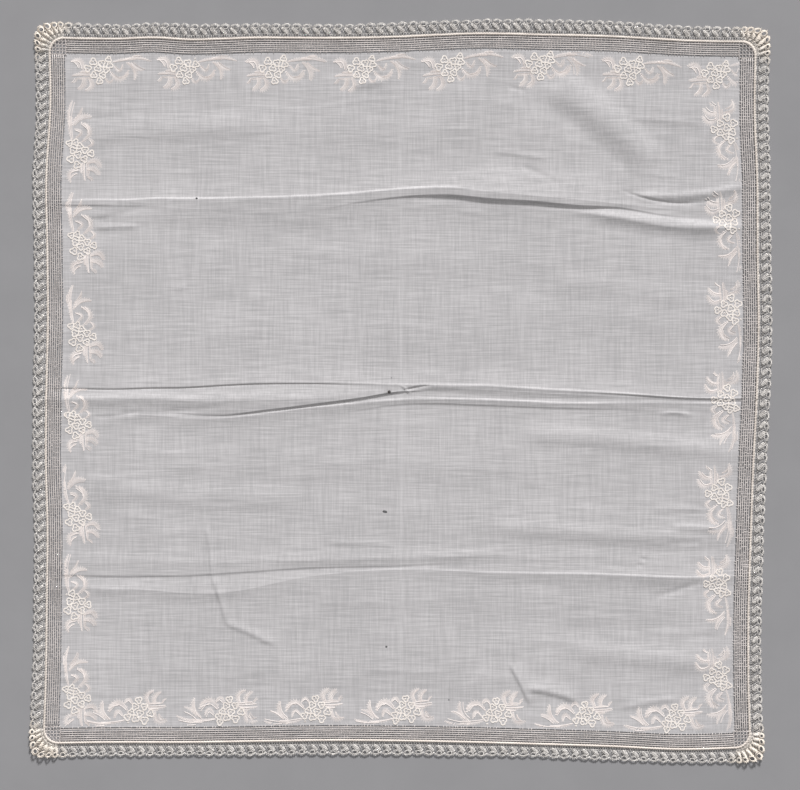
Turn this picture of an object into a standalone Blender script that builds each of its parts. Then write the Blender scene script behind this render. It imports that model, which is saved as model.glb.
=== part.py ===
"""A linen handkerchief lying open: a linen square with a rolled hem, and a lace edging whipped to it.

Units are metres, +Z is up and the handkerchief lies on the floor, z = 0. +X is its right side and +Y its
upper side, and the origin is the middle of its outline on the floor.

Two pieces, each one closed solid:
  linen_ground  the linen square with its rolled hem, its three crosswise folds and its uneven sides
  lace_edging   one strip of lace round the whole hem, gathered at the four rounded corners

Both are thin sheets made from a grid. Its points start on a true flat square, in (u, v), and the function
lay() puts them where the used, crept and folded cloth lies. The tables give every length in millimetres.
"""

import math

import bmesh
import bpy
import numpy as np

MM = 0.001

# Driving dimensions.
HEM_LINE_HALF = 194.0 * MM  # from the middle of the square to the middle of its rolled hem
HEM_RADIUS = 0.75 * MM  # of the roll itself
CORNER_RADIUS = 8.0 * MM  # of the hem line where it turns a corner
CLOTH_THICKNESS = 1.0 * MM  # linen, as a solid
HEM_THICKNESS = 1.5 * MM
LACE_THICKNESS = 1.0 * MM
GAP = 0.3 * MM  # between the hem and the lace
CORNER_SQUARENESS = 5.0  # how square the lace's outer corner is: 2 is round
PLEATS = 3  # deep folds of the gathered lace at each corner
PLEAT_LIFT = 1.2 * MM
EDGE_FADE = 7.0 * MM  # folds die out over this much of the lace
OUTLINE_CENTRE = (-0.36 * MM, -0.04 * MM)  # middle of the crept outline, which is brought to the origin

# How far the hem line has crept outwards (+) or inwards (-) from the true square, at eleven evenly
# spaced places: along runs left to right on the top and bottom, and bottom to top on the left and right.
HEM_CREEP = {
    "along": (-195, -156, -117, -78, -39, 0, 39, 78, 117, 156, 195),
    "top": (0.15, -0.95, -0.7, 0.15, -0.1, 0.7, 2.35, 1.7, 0.7, -1.5, -2.05),
    "right": (-2.3, -3.4, -3.3, -2.1, -0.7, 1.25, 2.25, 1.7, 1.5, 0.05, 0.7),
    "bottom": (-0.4, -0.95, -0.95, -1.5, -2.05, -1.8, -1.05, 0.05, 1.25, 2.9, 1.8),
    "left": (2.8, 1.5, 1.0, 0.6, 1.5, 1.2, 0.4, 0.7, 1.25, -0.9, -0.4),
}

# From the hem line to the lace's outer edge, at the same places.
LACE_WIDTH = {
    "along": (-195, -156, -117, -78, -39, 0, 39, 78, 117, 156, 195),
    "top": (9.3, 8.4, 9.0, 8.3, 8.1, 8.4, 8.3, 9.0, 8.8, 8.6, 8.3),
    "right": (8.3, 7.5, 7.7, 7.7, 7.9, 7.9, 7.9, 7.9, 7.7, 8.2, 8.3),
    "bottom": (8.3, 7.9, 7.7, 8.1, 8.3, 8.2, 7.9, 7.5, 8.1, 7.6, 9.2),
    "left": (8.3, 7.7, 7.5, 7.7, 7.7, 7.7, 7.7, 7.7, 7.7, 8.1, 8.3),
}

# The three crosswise folds, each as nine sections from left to right. A section lists the lines that it
# crosses, from the top of the fold down: where each line lies (v), and how high it is lifted there.
UPPER_FOLD = {
    "along": (-192, -144, -96, -48, 0, 48, 96, 144, 192),
    "head": (110.3, 114.4, 116.0, 117.6, 119.0, 122.0, 119.6, 106.3, 104.9),
    "crest": (102.4, 105.5, 106.3, 107.1, 110.0, 104.6, 101.8, 101.3, 100.5),
    "crest_lift": (0.5, 1.45, 1.75, 1.9, 1.9, 2.7, 2.25, 0.4, 0.25),
    "trough": (101.6, 102.0, 100.0, 98.1, 105.2, 102.9, 100.3, 97.7, 97.2),
    "trough_lift": (0.1, 0.4, 0.5, 0.3, 0.8, 0.4, 0.3, 0.0, 0.0),
    "swell": (97.2, 96.5, 95.0, 93.6, 101.9, 99.9, 97.6, 92.1, 91.7),
    "swell_lift": (0.3, 0.65, 0.55, 0.4, 0.7, 0.5, 0.4, 1.45, 0.65),
    "foot": (91.7, 89.5, 87.5, 86.0, 91.0, 88.9, 89.9, 84.3, 85.0),
}
MIDDLE_FOLD = {
    "along": (-192, -144, -96, -48, 0, 48, 96, 144, 192),
    "head": (10.2, 10.5, 11.0, 11.7, 11.7, 11.0, 9.0, 6.0, 5.0),
    "first_ridge": (2.5, 1.7, 3.6, 4.2, 2.5, 1.5, -0.1, -1.1, -2.1),
    "first_ridge_lift": (0.5, 0.8, 0.95, 0.95, 1.6, 1.75, 1.45, 1.9, 1.3),
    "first_trough": (1.1, 0.6, 2.5, 2.9, 0.9, 0.0, -1.3, -2.0, -2.8),
    "first_trough_lift": (0.0, 0.0, 0.1, 0.15, 1.2, 1.3, 0.8, 0.3, 0.15),
    "second_ridge": (-4.7, -4.4, -5.2, -4.9, -0.2, -1.0, -2.6, -2.7, -3.4),
    "second_ridge_lift": (1.45, 2.2, 2.4, 2.1, 1.2, 1.1, 0.9, 0.3, 0.25),
    "second_trough": (-11.9, -11.6, -13.7, -8.4, -1.7, -5.0, -4.6, -3.4, -4.0),
    "second_trough_lift": (0.0, 0.15, 0.15, 0.0, 0.0, 0.15, 0.0, 0.15, 0.15),
    "third_ridge": (-14.1, -13.8, -15.4, -10.2, -5.8, -6.2, -6.9, -4.9, -5.0),
    "third_ridge_lift": (0.15, 0.5, 0.55, 0.95, 1.3, 1.1, 1.3, 0.4, 0.25),
    "foot": (-18.3, -19.0, -22.0, -18.0, -13.3, -10.3, -10.4, -9.3, -9.0),
}
LOWER_FOLD = {
    "along": (-192, -144, -96, -48, 0, 48, 96, 144, 192),
    "head": (-85.1, -85.2, -85.6, -86.0, -86.0, -86.0, -84.5, -83.0, -83.0),
    "high_ridge": (-94.4, -94.5, -94.9, -94.5, -93.4, -92.0, -90.7, -89.0, -89.0),
    "high_ridge_lift": (0.65, 1.1, 0.9, 1.2, 0.95, 0.4, 0.3, 0.3, 0.15),
    "trough": (-101.6, -102.8, -101.3, -98.9, -97.8, -95.2, -94.2, -92.5, -92.5),
    "trough_lift": (0.0, 0.0, 0.0, 0.0, 0.15, 0.3, 0.3, 0.25, 0.15),
    "low_ridge": (-107.6, -109.9, -111.7, -103.3, -99.4, -100.5, -100.0, -99.6, -99.3),
    "low_ridge_lift": (0.8, 0.95, 0.9, 0.55, 0.8, 1.1, 1.45, 1.9, 0.8),
    "foot": (-115.4, -117.5, -117.9, -114.3, -111.0, -108.2, -109.4, -108.5, -105.1),
}
CROSSWISE_FOLDS = (UPPER_FOLD, MIDDLE_FOLD, LOWER_FOLD)

# The sides going clockwise, and whether their tables run the same way (1) or the other way (-1).
SIDES = (("top", 1), ("right", -1), ("bottom", -1), ("left", 1))

# Shorter folds: the two ends of each crest, how far its middle bows to the left of the way from start to
# end, its lift, and how wide it is on its left and on its right side.
SHORT_FOLD_COLUMNS = ("u_start", "v_start", "u_end", "v_end", "bow", "lift", "left_width", "right_width")
SHORT_FOLDS = {
    "swept crease, upper right": (126, 108.3, 190, 116, -1.7, 1.9, 10, 4.0),
    "diagonal ridge, upper right": (84, 164, 138, 134, 2.0, 1.6, 12, 9),
}

# The linen's grid: (from, to, steps) between the rounded corners' own lines. Rows run across the cloth.
COLUMN_STEPS = 28
ROW_BANDS = ((186.0, 124.0, 6), (84.0, 13.0, 6), (-23.0, -82.0, 5), (-119.0, -186.0, 6))
CORNER_STEPS = 4
HEAD_STEPS = 2  # rows between a fold's head and its first crest
LINE_STEPS = 1  # rows between its other lines

# The lace's grid.
LACE_SIDE_STEPS = 28
LACE_CORNER_STEPS = 12
LACE_ROWS = {
    # share of the lace's width from the hem outwards, and share of a pleat's lift there
    "outwards": (0.0, 0.15, 0.55, 1.0),
    "pleat": (0.0, 0.0, 1.0, 0.6),
}

COLOURS = {
    # name: colour as linear red, green and blue, then roughness
    "linen_ground": ((0.51, 0.51, 0.53), 0.85),
    "lace_edging": ((0.60, 0.57, 0.53), 0.9),
}


def through(table, name, where):
    """A smooth curve (Catmull-Rom) through a table's evenly spaced values, read at where, both in metres."""
    stations = np.array(table["along"]) * MM
    values = np.array(table[name]) * MM
    values = np.concatenate([[2 * values[0] - values[1]], values, [2 * values[-1] - values[-2]]])
    place = np.clip((where - stations[0]) / (stations[1] - stations[0]), 0, len(stations) - 1.0001)
    row = np.floor(place).astype(int)
    t = place - row
    before, start, end, after = (values[row + shift] for shift in range(4))
    return 0.5 * (
        2 * start
        + (end - before) * t
        + (2 * before - 5 * start + 4 * end - after) * t**2
        + (3 * start - before - 3 * end + after) * t**3
    )


def creep(u, v):
    """Slides the true square's points to where the sides have crept; each side's creep fades inwards."""
    across = 0.5 + 0.5 * np.clip(u / HEM_LINE_HALF, -1, 1)
    up = 0.5 + 0.5 * np.clip(v / HEM_LINE_HALF, -1, 1)
    x = u + through(HEM_CREEP, "right", v) * across - through(HEM_CREEP, "left", v) * (1 - across)
    y = v + through(HEM_CREEP, "top", u) * up - through(HEM_CREEP, "bottom", u) * (1 - up)
    return x - OUTLINE_CENTRE[0], y - OUTLINE_CENTRE[1]


def fold_lines(fold):
    """The names of a fold's lines from its head to its foot."""
    return [name for name in fold if name != "along" and not name.endswith("_lift")]


def crosswise_lift(fold, u, v):
    """Height of one crosswise fold: it runs from line to line, steepest where it meets a crest."""
    names = fold_lines(fold)
    height = np.zeros(np.shape(u))
    for above, below in zip(names, names[1:]):
        high = through(fold, above, u)
        low = through(fold, below, u)
        t = np.clip((high - v) / np.maximum(high - low, 0.1 * MM), 0, 1)
        start = through(fold, above + "_lift", u) if above + "_lift" in fold else 0
        end = through(fold, below + "_lift", u) if below + "_lift" in fold else 0
        rise = end - start
        height = height + rise * np.where(rise > 0, t**1.5, 1 - (1 - t) ** 1.5)
    return np.maximum(height, 0)


def short_lift(name, u, v):
    """Height of one short fold: a crest along a bowed line, with a curved slope down to each side."""
    fold = dict(zip(SHORT_FOLD_COLUMNS, np.array(SHORT_FOLDS[name]) * MM))
    run_u = fold["u_end"] - fold["u_start"]
    run_v = fold["v_end"] - fold["v_start"]
    length = math.hypot(run_u, run_v)
    along = ((u - fold["u_start"]) * run_u + (v - fold["v_start"]) * run_v) / length**2
    aside = ((v - fold["v_start"]) * run_u - (u - fold["u_start"]) * run_v) / length
    aside = aside - fold["bow"] * 4 * along * (1 - along)
    width = np.where(aside > 0, fold["left_width"], fold["right_width"])
    slope = np.clip(1 - np.abs(aside) / width, 0, 1) ** 1.6
    ends = np.clip(np.minimum(along, 1 - along) * 5, 0, 1)
    return fold["lift"] * slope * ends * ends * (3 - 2 * ends)


def lift(u, v):
    """Height of the cloth's underside: all the folds, dying out across the lace so that it ends flat."""
    height = sum(crosswise_lift(fold, u, v) for fold in CROSSWISE_FOLDS)
    for name in SHORT_FOLDS:
        height = np.maximum(height, short_lift(name, u, v))
    past_hem = np.maximum(np.abs(u), np.abs(v)) - HEM_LINE_HALF
    return height * np.clip(1 - past_hem / EDGE_FADE, 0, 1)


def lay(u, v, pleat=0.0):
    """The point (u, v) of the true square as it lies, raised by a pleat if the lace has one there."""
    x, y = creep(u, v)
    return np.stack([x, y, lift(u, v) + pleat], axis=-1)


def rounded(u, v, half, radius):
    """Rounds the square's corners: each corner cell is bent to a quarter disc, a becoming a*sqrt(1-b*b/2)."""
    a = np.clip((np.abs(u) - (half - radius)) / radius, 0, 1)
    b = np.clip((np.abs(v) - (half - radius)) / radius, 0, 1)
    corner = (a > 0) & (b > 0)
    bent_u = np.sign(u) * (half - radius + radius * a * np.sqrt(1 - b * b / 2))
    bent_v = np.sign(v) * (half - radius + radius * b * np.sqrt(1 - a * a / 2))
    return np.where(corner, bent_u, u), np.where(corner, bent_v, v)


def linen_rows(u):
    """Each row's v at every column, from the top down: even rows, and in each fold the fold's own lines."""
    half = HEM_LINE_HALF + HEM_RADIUS
    corner = half - CORNER_RADIUS - HEM_RADIUS + np.array(corner_lines())
    rows = [np.full(u.shape, value) for value in corner[::-1]]
    bands = [np.linspace(start, end, steps + 1) * MM for start, end, steps in ROW_BANDS]
    rows += [np.full(u.shape, value) for value in bands[0][1:]]
    for fold, band in zip(CROSSWISE_FOLDS, bands[1:]):
        names = fold_lines(fold)
        for above, below in zip(names, names[1:]):
            steps = HEAD_STEPS if above == "head" else LINE_STEPS
            for step in range(steps):
                share = step / steps
                rows.append(through(fold, above, u) * (1 - share) + through(fold, below, u) * share)
        rows.append(through(fold, names[-1], u))
        last = band[:-1] if fold is LOWER_FOLD else band
        rows += [np.full(u.shape, value) for value in last]
    rows += [np.full(u.shape, -value) for value in corner]
    return np.array(rows)


def corner_lines():
    """The grid's lines in a corner, counted from where the side turns; the last two bound the hem."""
    outer = CORNER_RADIUS + HEM_RADIUS
    inside = np.linspace(0, outer - 2 * HEM_RADIUS, CORNER_STEPS)
    return list(inside) + [outer]


def sheet_grid(name, points, join_ends=False):
    """A mesh grid through rows and columns of points; join_ends welds its last column to its first."""
    rows, columns = points.shape[:2]
    bm = bmesh.new()
    bmesh.ops.create_grid(bm, x_segments=columns - 1, y_segments=rows - 1, size=0.5)
    bm.verts.ensure_lookup_table()
    for vert, point in zip(bm.verts, points.reshape(-1, 3)):
        vert.co = point
    if join_ends:
        bmesh.ops.remove_doubles(bm, verts=bm.verts, dist=0.01 * MM)
    mesh = bpy.data.meshes.new(name)
    bm.to_mesh(mesh)
    bm.free()
    mesh.shade_smooth()
    return mesh


def material(name):
    colour, roughness = COLOURS[name]
    cloth = bpy.data.materials.new(name)
    cloth.use_nodes = True
    shader = cloth.node_tree.nodes["Principled BSDF"]
    shader.inputs["Base Color"].default_value = (*colour, 1)
    shader.inputs["Roughness"].default_value = roughness
    shader.inputs["Metallic"].default_value = 0
    return cloth


def sheet(name, mesh, thickness, collection):
    """An object of the mesh, thickened upwards from the face that lies on the floor."""
    obj = bpy.data.objects.new(name, mesh)
    collection.objects.link(obj)
    mesh.materials.append(material(name))
    solidify = obj.modifiers.new("thickness", "SOLIDIFY")
    solidify.thickness = thickness
    solidify.offset = 1
    return obj, solidify


def make_linen(collection):
    """The linen square: rows across it and columns down it, closer in the folds and the corners."""
    side = HEM_LINE_HALF - CORNER_RADIUS
    corner = side + np.array(corner_lines())
    middle = np.linspace(-side, side, COLUMN_STEPS + 1)
    columns = np.concatenate([-corner[:0:-1], middle, corner[1:]])
    v = linen_rows(columns)[::-1]
    u = np.broadcast_to(columns, v.shape)
    u, v = rounded(u, v, HEM_LINE_HALF + HEM_RADIUS, CORNER_RADIUS + HEM_RADIUS)
    mesh = sheet_grid("linen_ground", lay(u, v))
    linen, solidify = sheet("linen_ground", mesh, HEM_THICKNESS, collection)
    rows, column_count = v.shape
    hem = linen.vertex_groups.new(name="hem")
    row = np.arange(rows * column_count) // column_count
    column = np.arange(rows * column_count) % column_count
    rim = (row < 2) | (row >= rows - 2) | (column < 2) | (column >= column_count - 2)
    hem.add(np.flatnonzero(rim).tolist(), 1.0, "REPLACE")
    hem.add(np.flatnonzero(~rim).tolist(), CLOTH_THICKNESS / HEM_THICKNESS, "REPLACE")
    solidify.vertex_group = "hem"
    return linen


def lace_outline():
    """Round the whole edging: points on the hem line, their ways outwards, lace widths and pleat shares."""
    side = HEM_LINE_HALF - CORNER_RADIUS
    along = np.linspace(-side, side, LACE_SIDE_STEPS + 1)[:-1]
    turned = np.arange(LACE_CORNER_STEPS) / LACE_CORNER_STEPS
    angle = np.radians(90) * (1 - turned)
    corner_way = np.stack([np.cos(angle), np.sin(angle)], axis=1)
    square = np.sum(corner_way**CORNER_SQUARENESS, axis=1) ** (-1 / CORNER_SQUARENESS)
    side_way = np.broadcast_to([0.0, 1.0], (len(along), 2))
    side_points = np.stack([along, np.full(along.shape, HEM_LINE_HALF)], axis=1)
    one_side = np.concatenate([side_points, side + CORNER_RADIUS * corner_way])
    one_way = np.concatenate([side_way, corner_way])
    one_pleat = np.concatenate([np.zeros(along.shape), 0.5 - 0.5 * np.cos(turned * PLEATS * math.tau)])
    points, ways, widths, pleats = [], [], [], []
    for turn, (name, sign) in enumerate(SIDES):
        next_name, next_sign = SIDES[(turn + 1) % 4]
        start = through(LACE_WIDTH, name, np.array(sign * side))
        end = through(LACE_WIDTH, next_name, np.array(-next_sign * side))
        reach = (CORNER_RADIUS + start * (1 - turned) + end * turned) * square
        quarter_turns = np.linalg.matrix_power(np.array([[0, -1], [1, 0]]), turn)
        points.append(one_side @ quarter_turns)
        ways.append(one_way @ quarter_turns)
        widths.append(np.concatenate([through(LACE_WIDTH, name, sign * along), reach - CORNER_RADIUS]))
        pleats.append(one_pleat)
    rounds = [np.concatenate(parts) for parts in (points, ways, widths, pleats)]
    return [np.concatenate([values, values[:1]]) for values in rounds]


def make_lace(collection):
    """The edging: one closed ring of lace, whose corners are gathered in low pleats."""
    hem, way, width, pleat = lace_outline()
    inner = HEM_RADIUS + GAP
    share = np.array(LACE_ROWS["outwards"])[:, None]
    reach = inner + (width - inner) * share
    points = hem + way * reach[..., None]
    pleats = PLEAT_LIFT * pleat * np.array(LACE_ROWS["pleat"])[:, None]
    mesh = sheet_grid("lace_edging", lay(points[..., 0], points[..., 1], pleats), join_ends=True)
    lace, _ = sheet("lace_edging", mesh, LACE_THICKNESS, collection)
    return lace


def main():
    for obj in list(bpy.data.objects):
        bpy.data.objects.remove(obj, do_unlink=True)
    collection = bpy.data.collections.new("linen_handkerchief")
    bpy.context.scene.collection.children.link(collection)
    make_linen(collection)
    make_lace(collection)


main()
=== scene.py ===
# %% [markdown]
# # A linen handkerchief with a lace edging
# This is a square of sheer linen, lying open after years of being kept folded. A maker cut the
# square, pulled threads out along its sides to leave rows of tiny holes, netted the corners,
# rolled and whipped the raw edge into a hem, worked sprigs of white embroidery inside it, and
# whipped a narrow lace round it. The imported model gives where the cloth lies. Every step below
# adds one of those pieces on top of it.

# %% Load the frame
import math

import bpy
import numpy as np
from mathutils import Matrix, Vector


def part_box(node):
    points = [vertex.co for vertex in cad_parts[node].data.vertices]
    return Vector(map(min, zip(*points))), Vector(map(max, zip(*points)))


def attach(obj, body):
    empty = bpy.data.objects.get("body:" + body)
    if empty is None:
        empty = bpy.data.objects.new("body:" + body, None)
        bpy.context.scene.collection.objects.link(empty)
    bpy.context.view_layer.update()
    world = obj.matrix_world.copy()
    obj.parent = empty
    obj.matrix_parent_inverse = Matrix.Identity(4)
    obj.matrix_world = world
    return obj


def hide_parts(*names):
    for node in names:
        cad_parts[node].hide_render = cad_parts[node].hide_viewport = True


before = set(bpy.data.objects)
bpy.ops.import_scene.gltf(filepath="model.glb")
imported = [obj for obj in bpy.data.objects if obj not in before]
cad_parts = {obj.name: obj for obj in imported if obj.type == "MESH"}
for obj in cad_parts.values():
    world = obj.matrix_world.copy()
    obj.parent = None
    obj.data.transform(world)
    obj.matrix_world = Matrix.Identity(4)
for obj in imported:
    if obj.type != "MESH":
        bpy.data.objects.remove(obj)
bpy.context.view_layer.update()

MM = 0.001
linen_low, linen_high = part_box("linen_ground")
print("linen as packed, mm:", [round(size / MM, 1) for size in linen_high - linen_low])

# %% [markdown]
# ## How the cloth lies
# The square has crept: no side is quite straight. It was folded in four across, and the three
# folds still stand up. Both are easiest to describe on a true flat square, in (u, v), as curves
# through a few given values. One function then puts every point of every piece where the used
# cloth lies, so the embroidery, the hem and the lace follow the folds without being fitted to
# them.

# %% Sizes of the square
HEM_LINE_HALF = 194.0 * MM  # from the middle of the square to the middle of its rolled hem
HEM_RADIUS = 0.62 * MM
CORNER_RADIUS = 8.0 * MM  # of the hem line where it turns a corner
CORNER_SQUARENESS = 5.0  # how square the lace's outer corner is: 2 is round
EDGE_FADE = 7.0 * MM  # folds die out over this much of the lace
OUTLINE_CENTRE = (-0.36 * MM, -0.04 * MM)  # middle of the crept outline
CLOTH_MIDDLE = 0.5 * MM  # the sheet runs through the middle of the cloth's solid

# How far the hem line has crept outwards (+) or inwards (-) from the true square, in mm, at evenly
# spaced places: left to right on the top and bottom, and bottom to top on the left and right. In
# all these tables "along" gives the first and the last place. Rows may differ in number of values.
HEM_CREEP = {
    "along": (-195, 195),
    "top": (
        0.15, -0.35, -0.5, 0.2, -0.9, -0.45, 0.15, 0.0, -0.1, 0.15, 0.7,
        1.6, 2.35, 2.2, 1.7, 1.35, 0.7, -0.4, -1.5, -1.95, -2.05,
    ),
    "right": (-2.3, -3.4, -3.3, -2.1, -0.7, 1.25, 2.25, 1.7, 1.5, 0.05, 0.7),
    "bottom": (-0.4, -0.95, -0.95, -1.5, -2.05, -1.8, -1.05, 0.05, 1.25, 2.9, 1.8),
    "left": (2.8, 1.5, 1.0, 0.6, 1.5, 1.2, 0.4, 0.7, 1.25, -0.9, -0.4),
}

# From the hem line to the lace's outer edge, in mm, at the same places.
LACE_WIDTH = {
    "along": (-195, 195),
    "top": (9.3, 8.4, 9.0, 8.3, 8.1, 8.4, 8.3, 9.0, 8.8, 8.6, 8.3),
    "right": (8.3, 7.5, 7.7, 7.7, 7.9, 7.9, 7.9, 7.9, 7.7, 8.2, 8.3),
    "bottom": (8.3, 7.9, 7.7, 8.1, 8.3, 8.2, 7.9, 7.5, 8.1, 7.6, 9.2),
    "left": (8.3, 7.7, 7.5, 7.7, 7.7, 7.7, 7.7, 7.7, 7.7, 8.1, 8.3),
}

# The sides going clockwise, and whether their tables run the same way (1) or the other way (-1).
SIDES = (("top", 1), ("right", -1), ("bottom", -1), ("left", 1))


def through(table, name, where):
    """A smooth curve (Catmull-Rom) through a row's evenly spaced values, read at where."""
    first, last = np.array(table["along"]) * MM
    values = np.array(table[name]) * MM
    place = np.clip((where - first) / (last - first), 0, 0.999999) * (len(values) - 1)
    values = np.concatenate([[2 * values[0] - values[1]], values, [2 * values[-1] - values[-2]]])
    row = np.floor(place).astype(int)
    t = place - row
    before, start, end, after = (values[row + shift] for shift in range(4))
    return 0.5 * (
        2 * start
        + (end - before) * t
        + (2 * before - 5 * start + 4 * end - after) * t**2
        + (3 * start - before - 3 * end + after) * t**3
    )


def creep(u, v):
    """Slides the true square's points with the sides' creep, which fades from each side inwards."""
    across = 0.5 + 0.5 * np.clip(u / HEM_LINE_HALF, -1, 1)
    up = 0.5 + 0.5 * np.clip(v / HEM_LINE_HALF, -1, 1)
    x = u + through(HEM_CREEP, "right", v) * across - through(HEM_CREEP, "left", v) * (1 - across)
    y = v + through(HEM_CREEP, "top", u) * up - through(HEM_CREEP, "bottom", u) * (1 - up)
    return x - OUTLINE_CENTRE[0], y - OUTLINE_CENTRE[1]


# %% [markdown]
# ## The three crosswise folds
# A fold left in thin linen isn't one ridge. It is a crest, a sharp tuck beside it and a softer
# swell, and these wander from side to side. A fold's table lists its lines from its head down to
# its foot, each by its places up the cloth, at even steps from left to right. A lift is how high
# the cloth stands on its line. A pinch is the narrow nip that a hard crease keeps. A drop is how
# much of the way down to a line comes all at once, right on it, and a leap is the same for the way
# up.

# %% Fold tables, in mm
UPPER_FOLD = {
    "along": (-192, 192),
    "head": (
        110.3, 112.3, 114.4, 115.2, 116.0, 116.8, 117.6, 118.3, 119.0,
        121.0, 122.0, 121.5, 119.6, 112.5, 106.3, 105.5, 104.9,
    ),
    "crest": (
        104.5, 105.4, 105.4, 106.5, 106.2, 106.3, 107.3, 108.7, 110.4,
        110.5, 107.5, 105.8, 104.2, 102.6, 101.3, 100.9, 100.5,
    ),
    "crest_lift": (
        0.3, 0.5, 0.7, 0.75, 0.8, 0.85, 0.9, 1.0, 1.1, 1.4, 1.6, 1.55, 1.35, 0.8, 0.3, 0.2, 0.15,
    ),
    "crest_leap": (0.1, 0.3, 0.45, 0.5, 0.5, 0.5, 0.5, 0.55, 0.55, 0.4, 0.1, 0, 0, 0, 0, 0, 0),
    "trough": (
        101.8, 102.0, 101.5, 100.8, 100.0, 99.2, 99.0, 103.0, 105.5,
        105.6, 103.2, 102.3, 100.6, 100.2, 97.7, 97.4, 97.2,
    ),
    "trough_lift": (
        0.05, 0.1, 0.45, 0.55, 0.55, 0.5, 0.45, 0.5, 0.45, 0.2, 0.15, 0.15, 0.15, 0.2, 0, 0, 0,
    ),
    "trough_drop": (0.25, 0.35, 0.1, 0, 0, 0, 0, 0.2, 0.5, 1.1, 1.35, 1.25, 1.1, 0.5, 0.25, 0.1, 0),
    "swell": (
        97.2, 96.9, 96.5, 95.7, 95.0, 94.3, 93.6, 98.0, 101.9,
        100.9, 99.9, 98.7, 97.6, 94.8, 92.1, 91.9, 91.7,
    ),
    "swell_lift": (
        0.15, 0.3, 0.4, 0.35, 0.3, 0.3, 0.25, 0.3, 0.35, 0.3, 0.25, 0.3, 0.5, 0.9, 1.15, 1.0, 0.5,
    ),
    "foot": (
        91.7, 90.6, 89.5, 88.5, 87.5, 86.8, 86.0, 88.5, 91.0,
        90.0, 88.9, 89.4, 89.9, 87.0, 84.3, 84.6, 85.0,
    ),
}
MIDDLE_FOLD = {
    "along": (-192, 192),
    "head": (10.2, 10.5, 11.0, 11.7, 11.7, 11.0, 9.0, 6.0, 5.0),
    "first_ridge": (2.5, 1.7, 3.6, 4.2, 2.5, 1.5, -0.1, -1.1, -2.1),
    "first_ridge_lift": (0.2, 0.3, 0.4, 0.4, 0.8, 0.9, 0.8, 0.9, 0.6),
    "first_ridge_leap": (0, 0, 0, 0.1, 0.4, 0.5, 0.5, 0.5, 0.2),
    "first_trough": (1.1, 0.6, 2.5, 2.9, 0.9, 0.0, -1.3, -2.0, -2.8),
    "first_trough_lift": (0.0, 0.0, 0.05, 0.1, 0.6, 0.65, 0.45, 0.15, 0.1),
    "first_trough_drop": (
        0.15, 0.2, 0.25, 0.3, 0.3, 0.3, 0.25, 0, 0,
        0.05, 0.05, 0.1, 0.15, 0.3, 0.4, 0.35, 0.3,
    ),
    "first_trough_pinch": (
        -0.2, -0.2, -0.25, -0.25, -0.25, -0.25, -0.2, 0, 0,
        0, 0, 0, 0, -0.05, -0.1, -0.05, 0,
    ),
    "second_ridge": (-4.7, -4.4, -5.2, -4.9, -0.2, -1.0, -2.6, -2.7, -3.4),
    "second_ridge_lift": (0.7, 1.0, 1.1, 1.0, 0.6, 0.55, 0.4, 0.15, 0.1),
    "second_trough": (
        -11.9, -11.7, -11.6, -12.8, -14.0, -11.6, -8.7, -5.6, -2.0,
        -2.6, -4.6, -5.0, -4.6, -4.0, -3.4, -3.6, -4.0,
    ),
    "second_trough_lift": (0.0, 0.1, 0.1, 0.0, 0.1, 0.1, 0.05, 0.1, 0.1),
    "second_trough_drop": (
        0, 0, 0, 0, 0, 0.05, 0.1, 0.2, 0.35, 0.55, 0.7, 0.8, 0.85, 0.9, 0.95, 0.95, 0.8,
        0.05, 0, 0, 0, 0, 0, 0, 0.05, 0.05, 0.05, 0.05, 0.1, 0.1, 0.1, 0.1, 0.1,
    ),
    "second_trough_pinch": (
        0, 0, 0, 0, 0, 0, -0.05, -0.05, -0.1, -0.15, -0.15, -0.2, -0.2, -0.25, -0.25, -0.25, -0.25,
        0, 0, 0, 0, 0, 0, 0, 0, 0, 0, 0, -0.1, -0.1, -0.15, -0.2, -0.2,
    ),
    "third_ridge": (-14.1, -13.8, -15.4, -10.2, -5.8, -6.2, -6.9, -4.9, -5.0),
    "third_ridge_lift": (0.1, 0.25, 0.3, 0.45, 0.65, 0.7, 0.65, 0.25, 0.15),
    "third_ridge_leap": (0, 0, 0, 0.1, 0.35, 0.45, 0.35, 0, 0),
    "foot": (-18.3, -19.0, -22.0, -16.0, -8.9, -9.7, -10.2, -9.3, -9.0),
    "foot_drop": (0, 0, 0, 0, 0.25, 0.35, 0.25, 0.05, 0),
}
LOWER_FOLD = {
    "along": (-192, 192),
    "head": (-85.1, -85.2, -85.6, -86.0, -86.0, -86.0, -84.5, -83.0, -83.0),
    "high_ridge": (-94.4, -94.5, -94.9, -94.5, -93.4, -92.0, -90.7, -89.0, -89.0),
    "high_ridge_lift": (0.35, 0.55, 0.5, 0.6, 0.5, 0.25, 0.2, 0.2, 0.1),
    "trough": (-101.6, -102.8, -101.3, -98.9, -97.8, -95.2, -94.2, -92.5, -92.5),
    "trough_lift": (0.0, 0.0, 0.0, 0.0, 0.1, 0.15, 0.15, 0.15, 0.1),
    "trough_drop": (0.25, 0.35, 0.3, 0.3, 0.2, 0.05, 0, 0, 0),
    "low_ridge": (-107.6, -109.9, -111.7, -103.3, -99.4, -100.5, -100.0, -99.6, -99.3),
    "low_ridge_lift": (0.4, 0.5, 0.45, 0.3, 0.4, 0.55, 0.75, 0.95, 0.4),
    "low_ridge_leap": (0, 0, 0, 0, 0.15, 0.25, 0.4, 0.45, 0.1),
    "foot": (-115.4, -117.5, -117.9, -114.3, -111.0, -108.2, -109.4, -108.5, -105.1),
}
CROSSWISE_FOLDS = (UPPER_FOLD, MIDDLE_FOLD, LOWER_FOLD)
PINCH_HALF_WIDTH = 0.7 * MM
DROP_WIDTH = 1.5 * MM
LEAST_LINE_GAP = 0.1 * MM
FOLD_POWER = 1.5  # how much a flank steepens towards a crest


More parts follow.
